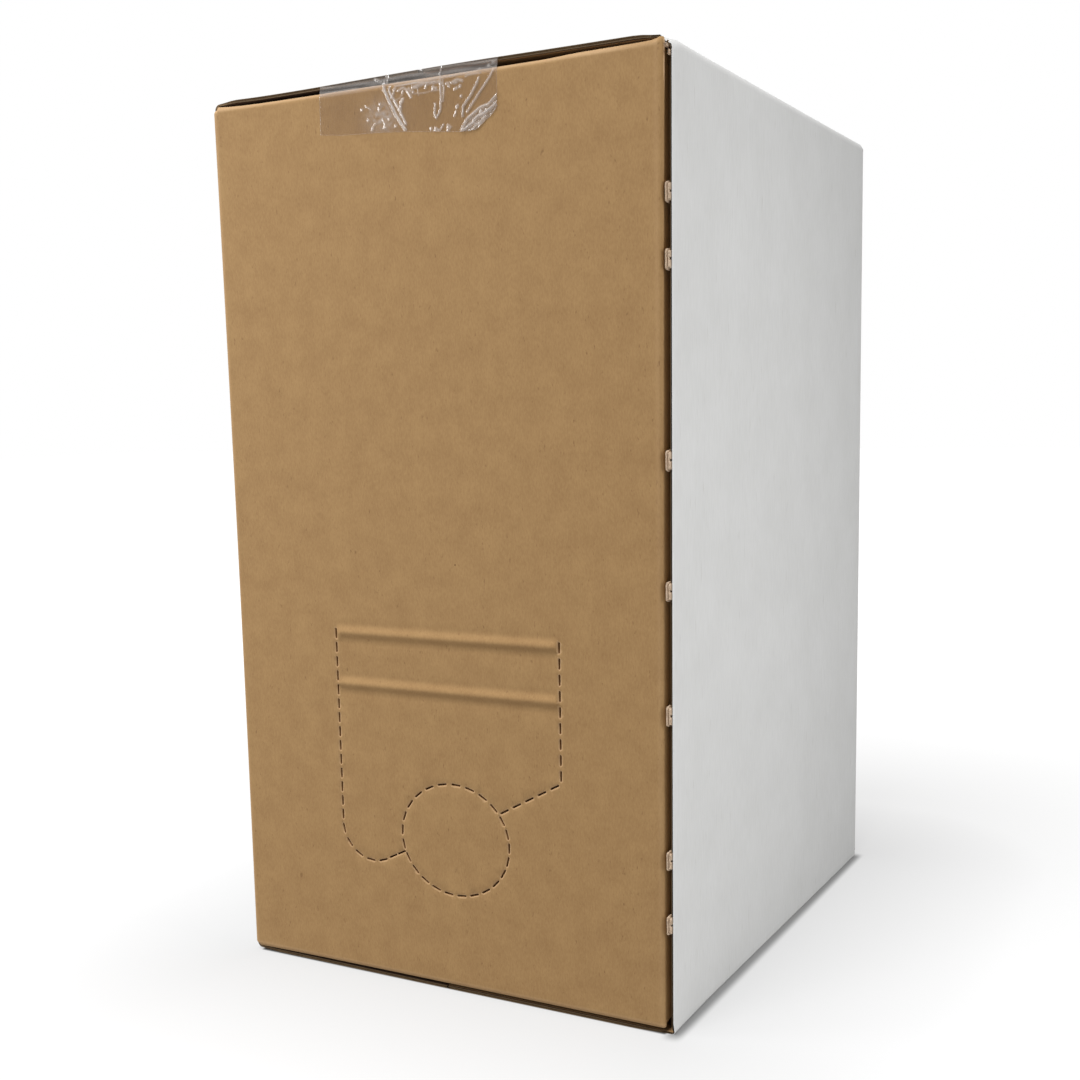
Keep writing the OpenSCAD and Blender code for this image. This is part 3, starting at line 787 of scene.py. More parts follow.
def tape_base(way):
    """Position of the film's sticky face along its way, and its outward direction, as y and z"""
    folded = BACK_WAY - way + CREST_Z if way > (CREST_Z + BACK_WAY) / 2 else way
    back = 1 if folded == way else -1
    if folded <= LEAVES_Z:
        y, z, out = FRONT_Y - 0.02, folded, (-1, 0)
    elif folded < CREST_Z:
        share = (folded - LEAVES_Z) / (CREST_Z - LEAVES_Z)
        y = FRONT_Y - 0.02 + 0.62 * share ** 1.3
        z, out = folded - 0.12 * share ** 8, (-0.98, 0.2)
        if share > 0.93:
            out = (-0.7, 0.7)
    else:
        share = min(1, (folded - CREST_Z) / 0.6)
        y, z = CREST_Y + (folded - CREST_Z), CREST_Z - 0.12 + 0.14 * share
        out = (-0.5 * (1 - share), 1)
    length = math.hypot(*out)
    return back * y, z, back * out[0] / length, out[1] / length


# Creases in the film: points on the front, height and half width
CREASES = (
    (((-9.3, 213.6), (-9.3, 212.4), (-7.9, 209.4), (-6.1, 205.9), (-3.8, 202.6)), 0.42, 0.5),
    (((-7.8, 212.5), (-7.8, 211.5), (-5.7, 207.9), (-3.6, 203.8)), 0.3, 0.4),
    (((-12.2, 214.6), (-10.6, 213.9), (-9.0, 213.2)), 0.25, 0.35),
    (((-8.9, 214.9), (-8.3, 214.0), (-8.7, 213.2)), 0.3, 0.4),
    (((-5.5, 211.4), (-4.2, 211.9), (-3.1, 211.3), (-2.1, 209.6)), 0.2, 0.5),
    (((-1.5, 211.6), (1.2, 212.2), (4.6, 212.1)), 0.22, 0.7),
    (((-2.6, 210.3), (1.4, 210.1), (5.6, 210.3)), 0.16, 0.22),
    (((-0.2, 211.6), (-0.1, 209.7)), 0.14, 0.25),
    (((5.7, 214.6), (5.7, 213.1), (5.9, 208.7), (5.6, 205.7), (4.5, 204.2), (4.1, 205.0),
      (4.3, 207.3)), 0.3, 0.3),
    (((6.3, 212.5), (6.7, 210.2), (6.3, 207.6)), 0.2, 0.3),
    (((8.6, 211.4), (10.0, 211.9), (11.4, 211.5)), 0.22, 0.5),
    (((12.2, 212.3), (13.2, 212.6), (16.0, 212.6)), 0.2, 0.35),
    (((15.6, 211.6), (15.2, 210.7), (13.3, 207.8), (11.5, 205.9), (11.3, 203.9)), 0.42, 0.35),
    (((19.3, 212.9), (18.3, 211.4), (16.4, 209.2), (12.5, 204.6)), 0.3, 0.35),
    (((11.1, 200.9), (12.6, 203.2), (15.9, 205.1), (18.0, 205.5), (19.9, 207.2)), 0.5, 0.5),
    (((11.6, 200.9), (13.8, 202.0), (15.1, 203.3), (17.4, 204.0), (20.0, 205.6)), 0.45, 0.6),
    (((14.0, 200.9), (15.6, 202.0), (17.0, 203.0)), 0.35, 0.4),
    (((9.2, 204.0), (9.7, 205.1)), 0.2, 0.3),
    (((4.0, 201.7), (5.4, 201.6), (6.3, 202.6)), 0.25, 0.3),
    (((7.3, 201.2), (8.2, 201.9)), 0.22, 0.35),
    (((-12.9, 203.4), (-12.0, 204.6), (-11.7, 204.9)), 0.18, 0.3),
    (((-14.4, 208.9), (-13.1, 208.1)), 0.16, 0.35),
    (((-10.9, 208.2), (-10.6, 207.4)), 0.18, 0.3),
    (((-9.9, 205.5), (-9.4, 204.8)), 0.16, 0.3),
    (((-6.4, 209.3), (-5.2, 209.6), (-4.4, 210.3)), 0.14, 0.3),
    (((19.7, 213.9), (19.0, 214.0), (17.5, 213.6), (14.5, 213.3), (10.5, 213.0)), 0.25, 0.25),
    (((9.9, 212.9), (6.8, 212.7), (3.2, 212.75), (-1.5, 212.5), (-6.5, 212.4)), 0.3, 0.28),
    (((-6.4, 211.9), (-6.9, 210.6), (-7.3, 209.9)), 0.25, 0.45),
    (((-4.2, 209.4), (-4.9, 208.3), (-5.0, 206.9)), 0.3, 0.5),
)
# Bubbles of air under the film
BUBBLE_R, BUBBLE_HIGH = 0.42, 0.2
random.seed(3)
BUBBLES = [(random.uniform(-6.5, 10), random.uniform(210.6, 212.2)) for _ in range(24)]
BUBBLES += [(random.uniform(6.5, 11.5), random.uniform(205, 210.5)) for _ in range(7)]
BUBBLES += [(random.uniform(2.5, 8.5), random.uniform(201.4, 202.2)) for _ in range(6)]
BUBBLES += [(random.uniform(-16, -5), random.uniform(203.4, 209)) for _ in range(10)]


def crease_height(x, way):
    """How far creases and bubbles lift the film off the board at a point"""
    lift = 0
    for line, high, half in CREASES:
        for (x0, z0), (x1, z1) in zip(line, line[1:]):
            run_x, run_z = x1 - x0, z1 - z0
            share = ((x - x0) * run_x + (way - z0) * run_z) / (run_x ** 2 + run_z ** 2)
            share = min(1, max(0, share))
            away = math.hypot(x - x0 - share * run_x, way - z0 - share * run_z)
            if away < half:
                lift = max(lift, high * (1 - away / half) ** 1.4)
    for x0, z0 in BUBBLES:
        away = math.hypot(x - x0, way - z0)
        if away < BUBBLE_R:
            lift = max(lift, BUBBLE_HIGH * (1 - (away / BUBBLE_R) ** 2))
    return lift


def tape_point(x, way):
    """Point of the film's sticky face, its outward direction, and the air under it there, with a painted
    highlight over the crease and painted sheen over the gap added
    """
    y, z, out_y, out_z = tape_base(way)
    lift = air_and_highlight = 0
    if way < CREST_Z + 2:
        lift = crease_height(x, way)
        air_and_highlight = min(1, lift / 0.3)
        # A patch that never stuck, on the left, and the crumpled torn corner, on the right
        patch = math.exp(-((x + 10) / 4.2) ** 2 - ((way - 206) / 3.4) ** 2)
        air_and_highlight = max(air_and_highlight, 0.42 * patch * (0.75 + noise.noise((x * 1.1, way * 1.1, 3))))
        torn = ramp(x, 10.5, 12.5) * ramp(207 - way + (x - 19) * 0.5, 0, 1.5)
        crumple = noise.noise((x * 0.8, way * 0.8, 11)) + 0.5 * noise.noise((x * 1.9, way * 1.9, 17))
        lift += 0.4 * torn * abs(crumple)
        air_and_highlight = max(air_and_highlight, torn * min(1, 0.1 + 1.15 * abs(crumple)))
    # Ripples along the stretch that bridges the gap
    bridge = ramp(way, LEAVES_Z + 0.3, LEAVES_Z + 1.1) * (1 - ramp(way, CREST_Z - 0.5, CREST_Z))
    ripple = math.sin(way * 6.5 + x * 0.16 + 3.2 * noise.noise((x * 0.12, way * 0.6, 4)))
    lift += 0.06 * bridge * (ripple + 1.1 * noise.noise((x * 0.12, way * 3, 8)))
    # Painted sheen: milky streaks along the ripples over the gap, on top of the haze of the unstuck film
    air_and_highlight = max(air_and_highlight, bridge * (0.1 + 0.32 * (0.5 + 0.5 * ripple) ** 2))
    if way < CREST_Z:
        # Partly air in the fold of the film over the kraft's crease, partly a painted highlight of the crease
        # under it
        air_and_highlight = max(air_and_highlight, (0.5 + 0.3 * noise.noise((x * 0.6, 0, 21))) * math.exp(-((way - 213.15) / 0.3) ** 2))
    lift += 0.012 * (1 + noise.noise((x * 0.9, way * 0.9, 2)))
    base = settled(Vector((x, y, z)) * MM)
    out = Vector((0, out_y, out_z))
    return base + (lift * MM) * out, out, air_and_highlight


# How milky the film's cut rim looks, on the scale of the air under it
RIM_AIR = 0.35
tape_mesh = bmesh.new()
air_and_highlight_layer = tape_mesh.verts.layers.float.new("air_and_highlight")
columns = [TAPE_LEFT, TAPE_LEFT + 0.12, *steps(TAPE_LEFT + 0.4, TAPE_RIGHT - 0.4, 0.21)]
columns += [TAPE_RIGHT - 0.12, TAPE_RIGHT]
# Rows of the film along its way, close together where it bends
ways = [*steps(LEAVES_Z, CREST_Z - 0.4, 0.3), *steps(CREST_Z - 0.2, CREST_Z + 0.8, 0.15)]
ways += [*steps(CREST_Z + 2, BACK_WAY - 2, 2.5), *steps(BACK_WAY - 0.8, BACK_WAY + 0.2, 0.2)]
ways += [*steps(BACK_WAY + 0.6, BACK_WAY + 3.4, 0.7), *steps(BACK_WAY + 5, TAPE_STOP, 2.5)]
end_shares = [0, 0.012, *steps(0.03, 1, 0.022)]
film_grid = []
for x in columns:
    end = float(np.interp(x, *zip(*TAPE_END))) + 0.1 * noise.noise((x * 2.3, 0, 6)) * ramp(x, 10, 14)
    line = []
    for way in [end + (LEAVES_Z - end) * share for share in end_shares[:-1]] + ways:
        place, out, air_and_highlight = tape_point(x, way)
        at_rim = min(x - TAPE_LEFT, TAPE_RIGHT - x, way - end, TAPE_STOP - way) < 0.05
        pair = [tape_mesh.verts.new(place), tape_mesh.verts.new(place + FILM * MM * out)]
        for vert in pair:
            vert[air_and_highlight_layer] = RIM_AIR if at_rim else air_and_highlight
        line.append(pair)
    film_grid.append(line)
for i in range(len(film_grid) - 1):
    for j in range(len(film_grid[0]) - 1):
        corners = (film_grid[i][j], film_grid[i + 1][j], film_grid[i + 1][j + 1], film_grid[i][j + 1])
        tape_mesh.faces.new([c[1] for c in corners])
        tape_mesh.faces.new([c[0] for c in reversed(corners)])
last_column, last_row = len(columns) - 1, len(film_grid[0]) - 1
rim = [film_grid[i][0] for i in range(last_column)]
rim += [film_grid[last_column][j] for j in range(last_row)]
rim += [film_grid[i][last_row] for i in range(last_column, 0, -1)]
rim += [film_grid[0][j] for j in range(last_row, 0, -1)]
for pair, following in zip(rim, rim[1:] + rim[:1]):
    tape_mesh.faces.new((pair[0], following[0], following[1], pair[1]))
tape = finish_mesh(tape_mesh, "creased_tape", 60)

# Clear polypropylene film: clear where it is stuck, milky where air lies under it, and milky too where a
# highlight over the crease and sheen over the gap are painted
clear_tape, tree, in_mm = start_material("clear_polypropylene")
air_and_highlight = add(tree, "Attribute", {"attribute_name": "air_and_highlight"}, {})
milky_share = add(tree, "Clamp", {}, {0: air_and_highlight.outputs["Fac"]})
smear = add(tree, "TexNoise", {}, {"Vector": in_mm, "Scale": 0.5, "Detail": 3})
tint = add(tree, "Mix", {"data_type": "RGBA"}, {0: milky_share, 6: colour("#FBFAF9"), 7: colour("#FDFCFC")})
clear = add(tree, "BsdfTransparent", {}, {"Color": tint.outputs[2]})
scuffed = add(tree, "MapRange", {}, {0: smear, 1: 0.3, 2: 0.7, 3: 0.06, 4: 0.16})
bump = add(tree, "Bump", {}, {"Height": smear, "Strength": 1, "Distance": 0.02 * MM})
milky = add(tree, "BsdfPrincipled", {}, {"Base Color": colour("#E4DCD6"), "Roughness": 0.3, "IOR": 1.5})
haze = add(tree, "MapRange", {}, {0: air_and_highlight.outputs["Fac"], 3: 0.008, 4: 0.4})
body = add(tree, "MixShader", {}, {0: haze, 1: clear, 2: milky})
gloss = add(tree, "BsdfPrincipled", {},
            {"Base Color": (1, 1, 1, 1), "Metallic": 1, "Roughness": scuffed, "Normal": bump})
shine = add(tree, "Fresnel", {}, {"IOR": 1.5})
# Only the outer face shines: the inner one is wetted by the glue
facing = add(tree, "NewGeometry", {}, {})
shine = add(tree, "Mix", {"data_type": "FLOAT"}, {0: facing.outputs["Backfacing"], 2: shine, 3: 0})
surface = add(tree, "MixShader", {}, {0: shine, 1: body, 2: gloss})
add(tree, "OutputMaterial", {}, {"Surface": surface})
tape.data.materials.append(clear_tape)
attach(tape, "root")
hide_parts("sealing_tape")

# Filled bag. Two sheets of metallised polyester and polyethylene film, welded on
# all four sides and filled with drink. The carton presses it to a block, its
# corners crumple, and the tap's place is pushed in. Sizes in millimetres.
BAG_LOW, BAG_HIGH = Vector((-56.9, -70.1, 3.6)), Vector((56.9, 70.1, 202.6))
BAG_EDGE = 19
BAG_STEP = 2.6
TAP_X, TAP_Z = 3.7, 38.2
TAP_Y = -32.4
DIMPLE_FLOOR, DIMPLE_MOUTH, DIMPLE_RIM = 23.2, 30.0, 35.0
DIMPLE_SPOKES = 110
WELD_W = 8
bag_middle = (BAG_LOW + BAG_HIGH) / 2
bag_half = (BAG_HIGH - BAG_LOW) / 2


def pressed_block(p):
    """Carries a point of the bag's box onto its rounded form, and gives the way out there"""
    local = p - bag_middle
    core = Vector([max(BAG_EDGE - h, min(h - BAG_EDGE, c)) for c, h in zip(local, bag_half)])
    out = (local - core).normalized()
    return bag_middle + core + BAG_EDGE * out, out


def film_relief(p, out):
    """How far creases, crumpled corners and weld bands set the film in, and the share of weld"""
    local = p - bag_middle
    reach = 1.5 * BAG_EDGE
    near_sides = sum(max(0, abs(c) - h + reach) / reach > 0.35 for c, h in zip(local, bag_half))
    near = [max(0, 1 - (h - abs(c)) / 34) for c, h in zip(local, bag_half)]
    crumple = sorted(near)[1] * (0.4 + sorted(near)[0])
    ridge = 1 - abs(noise.noise(p / 13)) * 2.2
    small = 1 - abs(noise.noise(p / 5.5 + Vector((9, 0, 0)))) * 2
    depth = 0.25 + 0.25 * abs(noise.noise(p / 30))
    depth += 2.6 * crumple * max(0, 1 - ridge) + 0.9 * crumple * max(0, 1 - small) * near_sides / 2
    # The slack top sheet sinks and wrinkles
    sag = 1.6 + 1.6 * noise.noise((p.x / 32, p.y / 45, 4))
    depth += max(0, out.z) * (sag + 0.7 * abs(noise.noise((p.x / 9, p.y / 16, 8))))
    # The welded border is folded flat along the sides, half way between front and back
    off_seam = abs(p.y - 1.5 * math.sin(p.z / 19) - 1.2 * math.sin(p.x / 23))
    band = (1 - ramp(off_seam, WELD_W / 2, WELD_W / 2 + 0.8)) * (1 - abs(out.y))
    return depth * (1 - 0.6 * band) - 0.3 * band + 0.18 * band * math.sin(off_seam * 4.2) ** 2, band


def dimple_profile(share):
    """Radius and depth of the pushed-in place, from its middle at 0 to its rim at 1"""
    deep = TAP_Y - BAG_LOW.y
    stops = ((0, 0, deep), (0.34, DIMPLE_FLOOR - 1.5, deep), (0.38, DIMPLE_FLOOR + 0.4, deep - 1.6),
             (0.86, DIMPLE_MOUTH, 3.4), (0.93, DIMPLE_MOUTH + 1.6, 1.0), (1, DIMPLE_RIM, 0))
    shares, radii, depths = zip(*stops)
    return float(np.interp(share, shares, radii)), float(np.interp(share, shares, depths))


bag_mesh = bmesh.new()
weld_layer = bag_mesh.verts.layers.float.new("weld")


def film_vert(box_point, hollow=None):
    """A vertex of the bag for a point of its box, pushed in to a depth where the tap stands"""
    place, out = pressed_block(box_point)
    inward, band = film_relief(place, out)
    if hollow is None:
        place = place - inward * out
    else:
        floor_y = BAG_LOW.y + hollow
        pleat = 0.5 * math.sin(11 * math.atan2(place.z - TAP_Z, place.x - TAP_X)) * ramp(hollow, 2, 12)
        pleat *= 1 - ramp(hollow, TAP_Y - BAG_LOW.y - 9, TAP_Y - BAG_LOW.y - 1)
        away = Vector((place.x - TAP_X, 0, place.z - TAP_Z))
        place = Vector((place.x, max(place.y + inward, floor_y), place.z))
        place += away.normalized() * abs(pleat) if away.length > 1 else Vector((0, 0, 0))
    vert = bag_mesh.verts.new(place * MM)
    vert[weld_layer] = band
    return vert


sides_of_box = [steps(low, high, BAG_STEP) for low, high in zip(BAG_LOW, BAG_HIGH)]
for axis in range(3):
    across, along = (a for a in range(3) if a != axis)
    for face_at in (BAG_LOW[axis], BAG_HIGH[axis]):
        if axis == 1 and face_at < 0:
            continue
        rows = []
        for c in sides_of_box[across]:
            row = []
            for d in sides_of_box[along]:
                point = [0, 0, 0]
                point[axis], point[across], point[along] = face_at, c, d
                row.append(film_vert(Vector(point)))
            rows.append(row)
        for i in range(len(rows) - 1):
            for j in range(len(rows[0]) - 1):
                bag_mesh.faces.new((rows[i][j], rows[i + 1][j], rows[i + 1][j + 1], rows[i][j + 1]))

# The front sheet, with the pushed-in place round the tap
spout_middle = Vector((TAP_X, TAP_Z))
plane_points = [Vector((x, z)) for x in sides_of_box[0] for z in sides_of_box[2]]
plane_points = [p for p in plane_points if (p - spout_middle).length > DIMPLE_RIM + 1]
made_at = [film_vert(Vector((p.x, BAG_LOW.y, p.y))) for p in plane_points]
ring_shares = [*steps(0.06, 0.34, 0.07), 0.36, 0.38, *steps(0.42, 0.86, 0.02), 0.895, 0.93, 0.965, 1]
for share in ring_shares:
    radius, deep = dimple_profile(share)
    for k in range(DIMPLE_SPOKES):
        angle = math.tau * k / DIMPLE_SPOKES
        way = Vector((math.cos(angle), math.sin(angle)))
        plane_points.append(spout_middle + share * DIMPLE_RIM * way)
        at = spout_middle + radius * way
        made_at.append(film_vert(Vector((at.x, BAG_LOW.y, at.y)), deep))
for triangle in delaunay_2d_cdt(plane_points, [], [], 0, 1e-6, True)[2]:
    bag_mesh.faces.new([made_at[i] for i in triangle])
bmesh.ops.remove_doubles(bag_mesh, verts=bag_mesh.verts, dist=0.02 * MM)
bmesh.ops.recalc_face_normals(bag_mesh, faces=bag_mesh.faces)
bag = finish_mesh(bag_mesh, "film_bag", 75)

# Metallised film: bright, slightly grey, with fine crinkles; the welds are duller and ribbed
metallised_film, tree, in_mm = start_material("metallised_film")
crinkle = add(tree, "TexNoise", {"noise_type": "RIDGED_MULTIFRACTAL"},
              {"Vector": in_mm, "Scale": 1 / 9, "Detail": 4, "Roughness": 0.55})
fine = add(tree, "TexNoise", {}, {"Vector": in_mm, "Scale": 0.9, "Detail": 3})
weld = add(tree, "Attribute", {"attribute_name": "weld"}, {})
ribs = add(tree, "TexWave", {"bands_direction": "DIAGONAL"},
           {"Vector": in_mm, "Scale": 0.25, "Distortion": 0.2})
relief = add(tree, "Mix", {"data_type": "FLOAT"},
             {0: weld.outputs["Fac"], 2: crinkle, 3: ribs.outputs["Fac"]})
bump = add(tree, "Bump", {}, {"Height": relief, "Strength": 1, "Distance": 0.12 * MM})
tone = add(tree, "MapRange", {}, {0: fine, 1: 0.3, 2: 0.7})
tint = add(tree, "Mix", {"data_type": "RGBA"}, {0: tone, 6: colour("#C3C5C9"), 7: colour("#D2D3D5")})
dull = add(tree, "MapRange", {}, {0: weld.outputs["Fac"], 3: 0.2, 4: 0.42})
shader = add(tree, "BsdfPrincipled", {},
             {"Base Color": tint.outputs[2], "Metallic": 0.85, "Roughness": dull, "Normal": bump})
add(tree, "OutputMaterial", {}, {"Surface": shader})
bag.data.materials.append(metallised_film)
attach(bag, "root")
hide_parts("filled_bag")


# Spout, valve stem and push button. Turned mouldings on the tap's axis: spout and
# stem are polyethylene, the spout welded to the bag, and the button is an elastic
# dome. Sizes are in millimetres, along the axis from the spout's back.
BORE, NECK, COLLAR, FLANGE = 10.7, 12.9, 15.3, 21
SPOUT_L, STEM_END, RIM_END = 14, 31.2, 33
STEM_R, DOME_R, DOME_HIGH = 1.8, 10.4, 4.5
ON_AXIS = 0.01


def soften(points, radius):
    """Rounds the corners of a section that lie off the axis"""
    soft = []
    for before, corner, after in zip(points[-1:] + points[:-1], points, points[1:] + points[:1]):
        corner = Vector(corner)
        to_before, to_after = Vector(before) - corner, Vector(after) - corner
        if corner.y < ON_AXIS:
            soft.append(corner)
            continue
        reach = min(radius, 0.4 * to_before.length, 0.4 * to_after.length)
        start, end = corner + reach * to_before.normalized(), corner + reach * to_after.normalized()
        soft += [start.lerp(corner, t).lerp(corner.lerp(end, t), t) for t in (0, 0.33, 0.67, 1)]
    return soft


def turned(name, section, radius, count=96, ribs=None):
    """A moulding turned about the tap's axis from a closed section of places along and radii"""
    made = bmesh.new()
    rings = []
    for along, r in soften(section, radius):
        if r < ON_AXIS:
            rings.append([made.verts.new(Vector((TAP_X, TAP_Y - along, TAP_Z)) * MM)] * count)
            continue
        ring = []
        for k in range(count):
            angle = math.tau * k / count
            wide = r + (ribs(r, angle) if ribs else 0)
            place = Vector((TAP_X + wide * math.cos(angle), TAP_Y - along, TAP_Z + wide * math.sin(angle)))
            ring.append(made.verts.new(place * MM))
        rings.append(ring)
    for ring, following in zip(rings, rings[1:] + rings[:1]):
        for k in range(count):
            after = (k + 1) % count
            corners = dict.fromkeys((ring[k], ring[after], following[after], following[k]))
            if len(corners) > 2:
                made.faces.new(tuple(corners))
    bmesh.ops.recalc_face_normals(made, faces=made.faces)
    return finish_mesh(made, name, 50)


def collar_ribs(r, angle):
    """Fine ribs round the rims of the two collars that grip the carton's hole"""
    return 0.12 * max(0, math.cos(24 * angle)) if COLLAR - 0.5 < r < COLLAR + 0.1 else 0


# Low rings on the flange, where the film is welded to it
ring_section = ((1.2, 0.3), (1.4, 0.12), (1.4, -0.12), (1.2, -0.3))
weld_rings = [(along, r + d) for r in (19.4, 17.9, 16.4, 14.9) for along, d in ring_section]
spout_section = [(0, BORE), (0, FLANGE), (1.2, FLANGE), *weld_rings, (1.2, NECK), (4.4, NECK), (4.4, COLLAR),
                 (5.8, COLLAR), (5.8, NECK), (8.6, NECK), (8.6, COLLAR), (11.4, NECK), (SPOUT_L, NECK),
                 (SPOUT_L, BORE)]
spout = turned("welded_spout", spout_section, 0.3, ribs=collar_ribs)
stem_section = [(10.4, 0), (10.4, 7.6), (10.9, 8.05), (11.5, 8.05), (12, 7.4), (12, 3.2), (13, STEM_R),
                (STEM_END, STEM_R), (STEM_END, 0)]
stem = turned("valve_stem_moulding", stem_section, 0.25, count=64)
dome = [(STEM_END, 0), (STEM_END, 11.1), (31.6, 11.2), (32.6, 11.2), (RIM_END, 10.9)]
dome += [(RIM_END + DOME_HIGH * math.cos(a) ** 1.4, DOME_R * math.sin(a)) for a in steps(1.45, 0.06, 0.09)]
dome.append((RIM_END + DOME_HIGH, 0))
button = turned("push_button_dome", dome, 0.2)


def moulded(name, dark, light, rough, ior, grain, relief):
    """Injection-moulded plastic: faint flow clouds, and the fine texture of the mould. The grain
    and the relief are in millimetres."""
    made, tree, in_mm = start_material(name)
    flow = add(tree, "TexNoise", {}, {"Vector": in_mm, "Scale": 0.12, "Detail": 3, "Distortion": 0.6})
    spark = add(tree, "TexNoise", {}, {"Vector": in_mm, "Scale": 1 / grain, "Detail": 2})
    tint = add(tree, "Mix", {"data_type": "RGBA"}, {0: flow, 6: colour(dark), 7: colour(light)})
    worn = add(tree, "MapRange", {}, {0: flow, 1: 0.3, 2: 0.7, 3: rough - 0.05, 4: rough + 0.06})
    bump = add(tree, "Bump", {}, {"Height": spark, "Strength": 1, "Distance": relief * MM})
    shader = add(tree, "BsdfPrincipled", {},
                 {"Base Color": tint.outputs[2], "Roughness": worn, "IOR": ior, "Normal": bump})
    add(tree, "OutputMaterial", {}, {"Surface": shader})
    return made


# Natural polyethylene: milky and waxy
polyethylene = moulded("natural_polyethylene", "#DEDDD6", "#EBEAE4", 0.4, 1.54, 0.5, 0.02)
# White polypropylene: harder and glossier, with a spark-eroded mould finish
polypropylene = moulded("white_polypropylene", "#E2E2DF", "#EFEFED", 0.28, 1.5, 0.35, 0.012)
# Red thermoplastic elastomer: satin, rubbery
elastomer = moulded("red_elastomer", "#A82C2A", "#B83633", 0.52, 1.52, 0.3, 0.02)
for piece, node, slot, stuff in (
        (spout, "spout_gland", "spout_plastic", polyethylene),
        (stem, "valve_stem", "spout_plastic", polyethylene),
        (button, "push_button", "button_rubber", elastomer)):
    piece.data.materials.append(stuff)
    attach(piece, "root")
    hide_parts(node)

# Tap body. One moulding of white polypropylene, with its finger wings and
# outlet tube; it keeps its CAD form and is pressed into the spout.
for held in bpy.data.objects["tap_body"].material_slots:
    held.material = polypropylene

# Camera at the photograph's viewing angle, from in front and to the right. Its place,
# turn and lens come from a fit to the carton's outline and its tap door.
camera_data = bpy.data.cameras.new("camera")
camera_data.sensor_width = 36
camera_data.lens = 46.83
camera_data.shift_x = 0.0028
camera_data.shift_y = 0.0739
camera_data.clip_start = 0.01
camera = bpy.data.objects.new("camera", camera_data)
bpy.context.scene.collection.objects.link(camera)
YAW, PITCH, ROLL = (math.radians(a) for a in (28.852, -8.488, 1.111))
camera.location = (0.17862, -0.34653, 0.13972)
camera.rotation_mode = "XYZ"
turn = Matrix.Rotation(YAW, 3, "Z") @ Matrix.Rotation(PITCH, 3, "X") @ Matrix.Rotation(ROLL, 3, "Y")
right, ahead, up = turn.col
camera.matrix_world = Matrix((
    (right.x, up.x, -ahead.x, camera.location.x),
    (right.y, up.y, -ahead.y, camera.location.y),
    (right.z, up.z, -ahead.z, camera.location.z),
    (0, 0, 0, 1)))
bpy.context.scene.camera = camera

# Floor and light. A wide sheet of pale paper, with a painted shadow round the carton's foot that fades to
# white away from it, a plain white surround, and three soft lamps.
FLOOR_HALF = 4
FOOT_HALF = (57.5, 70.9, 0)
RIGHT_FOOT_X = 60
LIT_GREY = (0.45, 0.45, 0.45, 1)
SEEN_GREY = (0.2, 0.2, 0.2, 1)
WHITE_LIGHT = (1, 1, 1, 1)
floor_corners = [(x * FLOOR_HALF, y * FLOOR_HALF, 0) for x, y in ((-1, -1), (1, -1), (1, 1), (-1, 1))]
floor_mesh = bpy.data.meshes.new("floor")
floor_mesh.from_pydata(floor_corners, [], [(0, 1, 2, 3)])
floor = bpy.data.objects.new("floor", floor_mesh)
bpy.context.scene.collection.objects.link(floor)
floor_mat, tree, in_mm = start_material("floor_paper")
path = add(tree, "LightPath", {}, {})
seen_by = add(tree, "Math", {"operation": "MAXIMUM"},
              {0: path.outputs["Is Camera Ray"], 1: path.outputs["Is Glossy Ray"]})
# To the camera most of the floor's white is glow, which leaves the rest to show the shadow
grey = add(tree, "Mix", {"data_type": "RGBA"}, {0: seen_by, 6: LIT_GREY, 7: SEEN_GREY})
diffuse = add(tree, "BsdfDiffuse", {}, {"Color": grey.outputs[2]})
# Painted shadow round the carton: its glow rises from 0.6 at the carton's foot to 0.76 at 60 mm, and on to
# white far away, and drops to none within 0.9 mm of the foot
mirrored = add(tree, "VectorMath", {"operation": "ABSOLUTE"}, {0: in_mm})
beside = add(tree, "VectorMath", {"operation": "SUBTRACT"}, {0: mirrored, 1: FOOT_HALF})
outside = add(tree, "VectorMath", {"operation": "MAXIMUM"}, {0: beside, 1: (0, 0, 0)})
far = add(tree, "VectorMath", {"operation": "LENGTH"}, {0: outside})
fade = add(tree, "MapRange", {}, {0: far.outputs["Value"], 1: 0.4, 2: 60, 3: 0.6, 4: 0.76})
farther = add(tree, "MapRange", {}, {0: far.outputs["Value"], 1: 50, 2: 400, 3: 0, 4: 0.25})
fade = add(tree, "Math", {}, {0: fade, 1: farther})
foot = add(tree, "MapRange", {"interpolation_type": "SMOOTHSTEP"}, {0: far.outputs["Value"], 1: 0, 2: 0.9})
faded = add(tree, "Math", {"operation": "MULTIPLY"}, {0: foot, 1: fade})
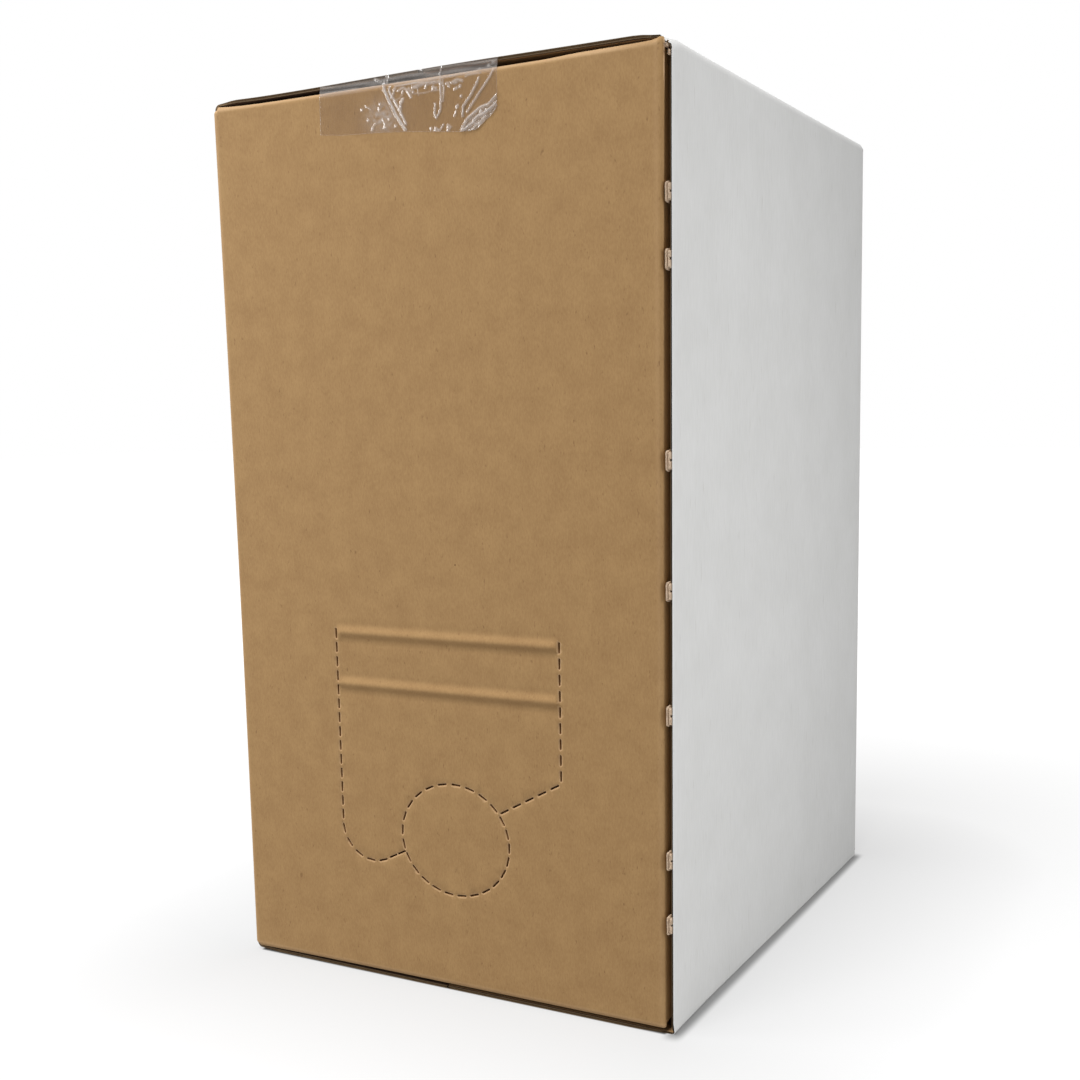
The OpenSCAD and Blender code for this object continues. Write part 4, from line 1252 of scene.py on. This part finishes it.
# Painted shadow: within 3 mm of the right wall's foot most of the glow is taken away, so the floor there
# shows a dark shade beside the wall
apart = add(tree, "SeparateXYZ", {}, {0: in_mm})
depth = add(tree, "SeparateXYZ", {}, {0: mirrored})
away = add(tree, "Math", {"operation": "SUBTRACT"}, {0: apart, 1: RIGHT_FOOT_X})
away = add(tree, "Math", {"operation": "ABSOLUTE"}, {0: away})
near = add(tree, "MapRange", {"interpolation_type": "SMOOTHSTEP"}, {0: away, 1: 0.4, 2: 3, 3: 0.78, 4: 0})
beyond = add(tree, "MapRange", {"interpolation_type": "SMOOTHSTEP"}, {0: depth.outputs[1], 1: 75, 2: 70})
shaded = add(tree, "Math", {"operation": "MULTIPLY"}, {0: near, 1: beyond})
open_share = add(tree, "Math", {"operation": "SUBTRACT"}, {0: 1.0, 1: shaded})
lit = add(tree, "Math", {"operation": "MULTIPLY"}, {0: faded, 1: open_share})
glow_level = add(tree, "Math", {"operation": "MULTIPLY"}, {0: seen_by, 1: lit})
glow = add(tree, "Emission", {}, {"Color": WHITE_LIGHT, "Strength": glow_level})
both = add(tree, "AddShader", {}, {0: diffuse, 1: glow})
add(tree, "OutputMaterial", {}, {"Surface": both})
floor_mesh.materials.append(floor_mat)

world = bpy.data.worlds.new("studio")
bpy.context.scene.world = world
world.use_nodes = True
tree = world.node_tree
tree.nodes.clear()
path = add(tree, "LightPath", {}, {})
level = add(tree, "MapRange", {}, {0: path.outputs["Is Camera Ray"], 3: 0.28, 4: 1.0})
surround = add(tree, "Background", {}, {"Color": WHITE_LIGHT, "Strength": level})
add(tree, "OutputWorld", {}, {"Surface": surround})


def soft_light(name, place, target, size, power):
    """A softbox: its place, what it points at and its size in metres, and its power in watts"""
    data = bpy.data.lights.new(name, "AREA")
    data.shape = "RECTANGLE"
    data.size, data.size_y = size
    data.energy = power
    made = bpy.data.objects.new(name, data)
    made.location = place
    made.rotation_euler = (Vector(target) - Vector(place)).to_track_quat("-Z", "Y").to_euler()
    made.visible_camera = False
    bpy.context.scene.collection.objects.link(made)


soft_light("key", (-0.05, -0.55, 1.25), (0, -0.05, 0.1), (0.5, 0.5), 13.6)
soft_light("left fill", (-0.45, -0.34, 0.28), (-0.02, -0.07, 0.12), (0.2, 0.3), 1.65)
soft_light("right fill", (0.34, -0.075, 0.15), (0.06, -0.03, 0.12), (0.05, 0.28), 0.43)
bpy.context.scene.view_settings.view_transform = "Standard"
